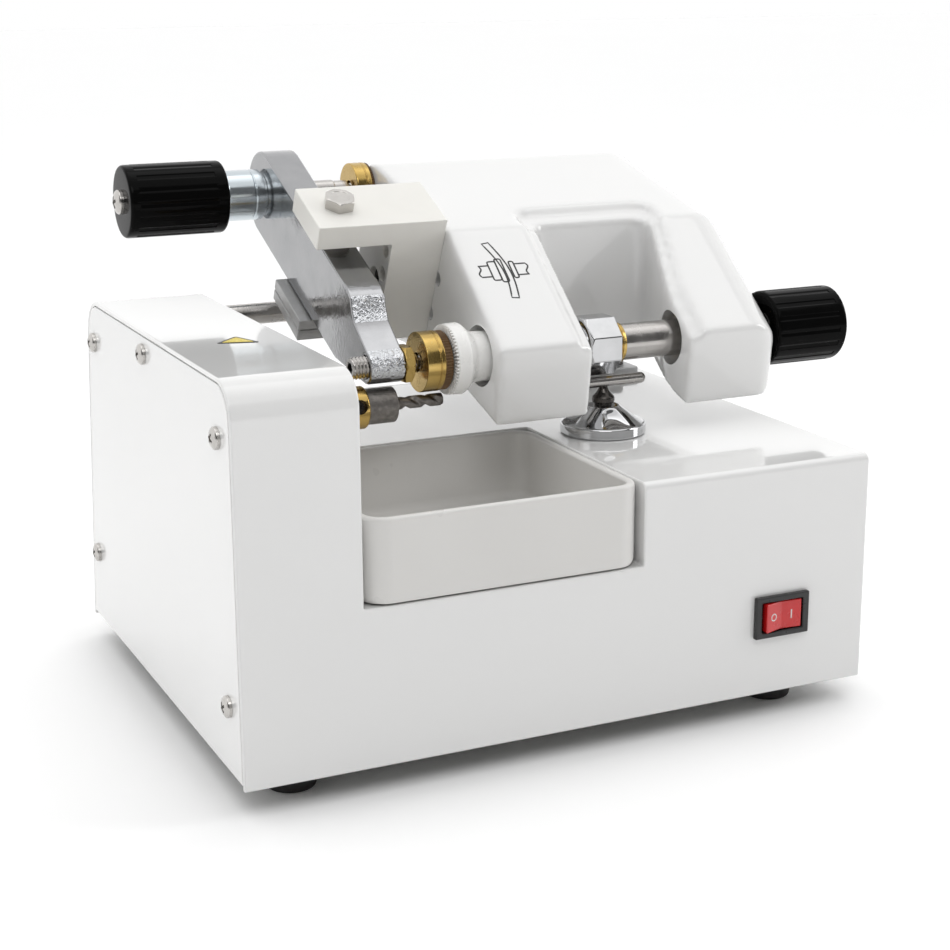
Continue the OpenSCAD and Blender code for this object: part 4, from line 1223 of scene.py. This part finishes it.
cone_line = [(dial_low + DIAL_RIM + DIAL_CONE * i / 12, 14.7 - 8.9 * (i / 12) ** 0.95)
             for i in range(13)]
dial = turned("size_wheel", [(dial_low, 3.3), (dial_low, 15.2), (dial_low + 0.5, 15.6),
                             (dial_low + 3.5, 15.6), (dial_low + 4, 15.2)] + cone_line
              + [(dial_low + 9.9, 3.3)], DIAL, 192, shape=petals, upright=True, ease=0.15,
              closed=True)
hand_over(smooth_faces(dial, 40), bright_chrome, "dial", "chrome", "size_dial")
tracer = turned("tracer_post", [(66, 0), (66, 3.25), (92.9, 3.25), (93.2, 4.1), (94.8, 4.2),
                                (95.6, 3.7), (96.8, 2.5), (98.2, 1.7), (99.2, 1.45),
                                (CUTTER[1], 1.45), (CUTTER[1], 0)], DIAL, 72, upright=True,
                ease=0.3)
hand_over(smooth_faces(tracer), dark_steel, "tracer", "dark_steel", "tracer_cone")
PIN_R, PIN_SHOULDER = 2.05, 177.6
pin_end = [(PIN_SHOULDER + PIN_R * math.sin(math.radians(a)), PIN_R * math.cos(math.radians(a)))
           for a in range(0, 91, 15)]
pin = turned("tracing_pin", [(150.6, 0), (150.6, PIN_R)] + pin_end, CUTTER, 48, ease=0.2)
hand_over(smooth_faces(pin), turned_steel, "tracer", "steel", "tracer_pin")

# %% [markdown]
# ## The pivot and the parts inside
# The head swings on a steel rod held by the left box and by a small post on the deck. These
# and the drive inside the base keep the working model's shapes, with rounded edges where they
# can be seen, and take their finishes from the table below.

# %% Rod, post and collars
pivot = turned("pivot_bar", [(22, 0), (22, 4), (227, 4), (227, 0)], PIVOT, 64, ease=0.5)
hand_over(smooth_faces(pivot), turned_steel, "base", "steel", "pivot_rod")
for node, name, width, material, slot in (
        ("pivot_post", "rear_post", 0.6, cast_grey, "grey_cast"),
        ("pivot_collars", "rod_collars", 0.4, bolt_steel, "steel"),
        ("pivot_post_screws", "post_screws", 0.25, dark_steel, "steel"),
        ("bracket_screws", "holder_screws", 0.25, dark_steel, "dark_steel"),
        ("collar_set_screw", "seat_grub", 0.1, dark_steel, "dark_steel")):
    body = next(b for b, members in frame["record"]["behaviour"]["bodies"].items()
                if node in members)
    hand_over(softened(node, width, name), material, body, slot, node)

# %% Finishes of the parts that keep their own shape
motor_paint = finish("motor_paint", (0.05, 0.052, 0.055), (0.08, 0.082, 0.085), 0.45,
                     metallic=0.3, patch=80, grain=900, bump=0.2)
kept_finishes = {
    plate_zinc: ("bottom_plate", "motor_bracket", "motor_pulley", "spindle_pulley"),
    bolt_steel: ("foot_screws", "motor_screws", "fulcrum_spacer", "clamp_ball", "push_ball"),
    motor_paint: ("motor_body",),
    foot_rubber: ("drive_belt",),
    cast_grey: ("spindle_housing", "pivot_rod_block"),
    turned_steel: ("spindle_bearings", "motor_shaft", "spindle_shaft"),
    turned_brass: ("pivot_bushes",),
}
for material, members in kept_finishes.items():
    for node in members:
        cad_nodes[node].data.materials.clear()
        cad_nodes[node].data.materials.append(material)
print("kept as they are:", sum(len(m) for m in kept_finishes.values()))
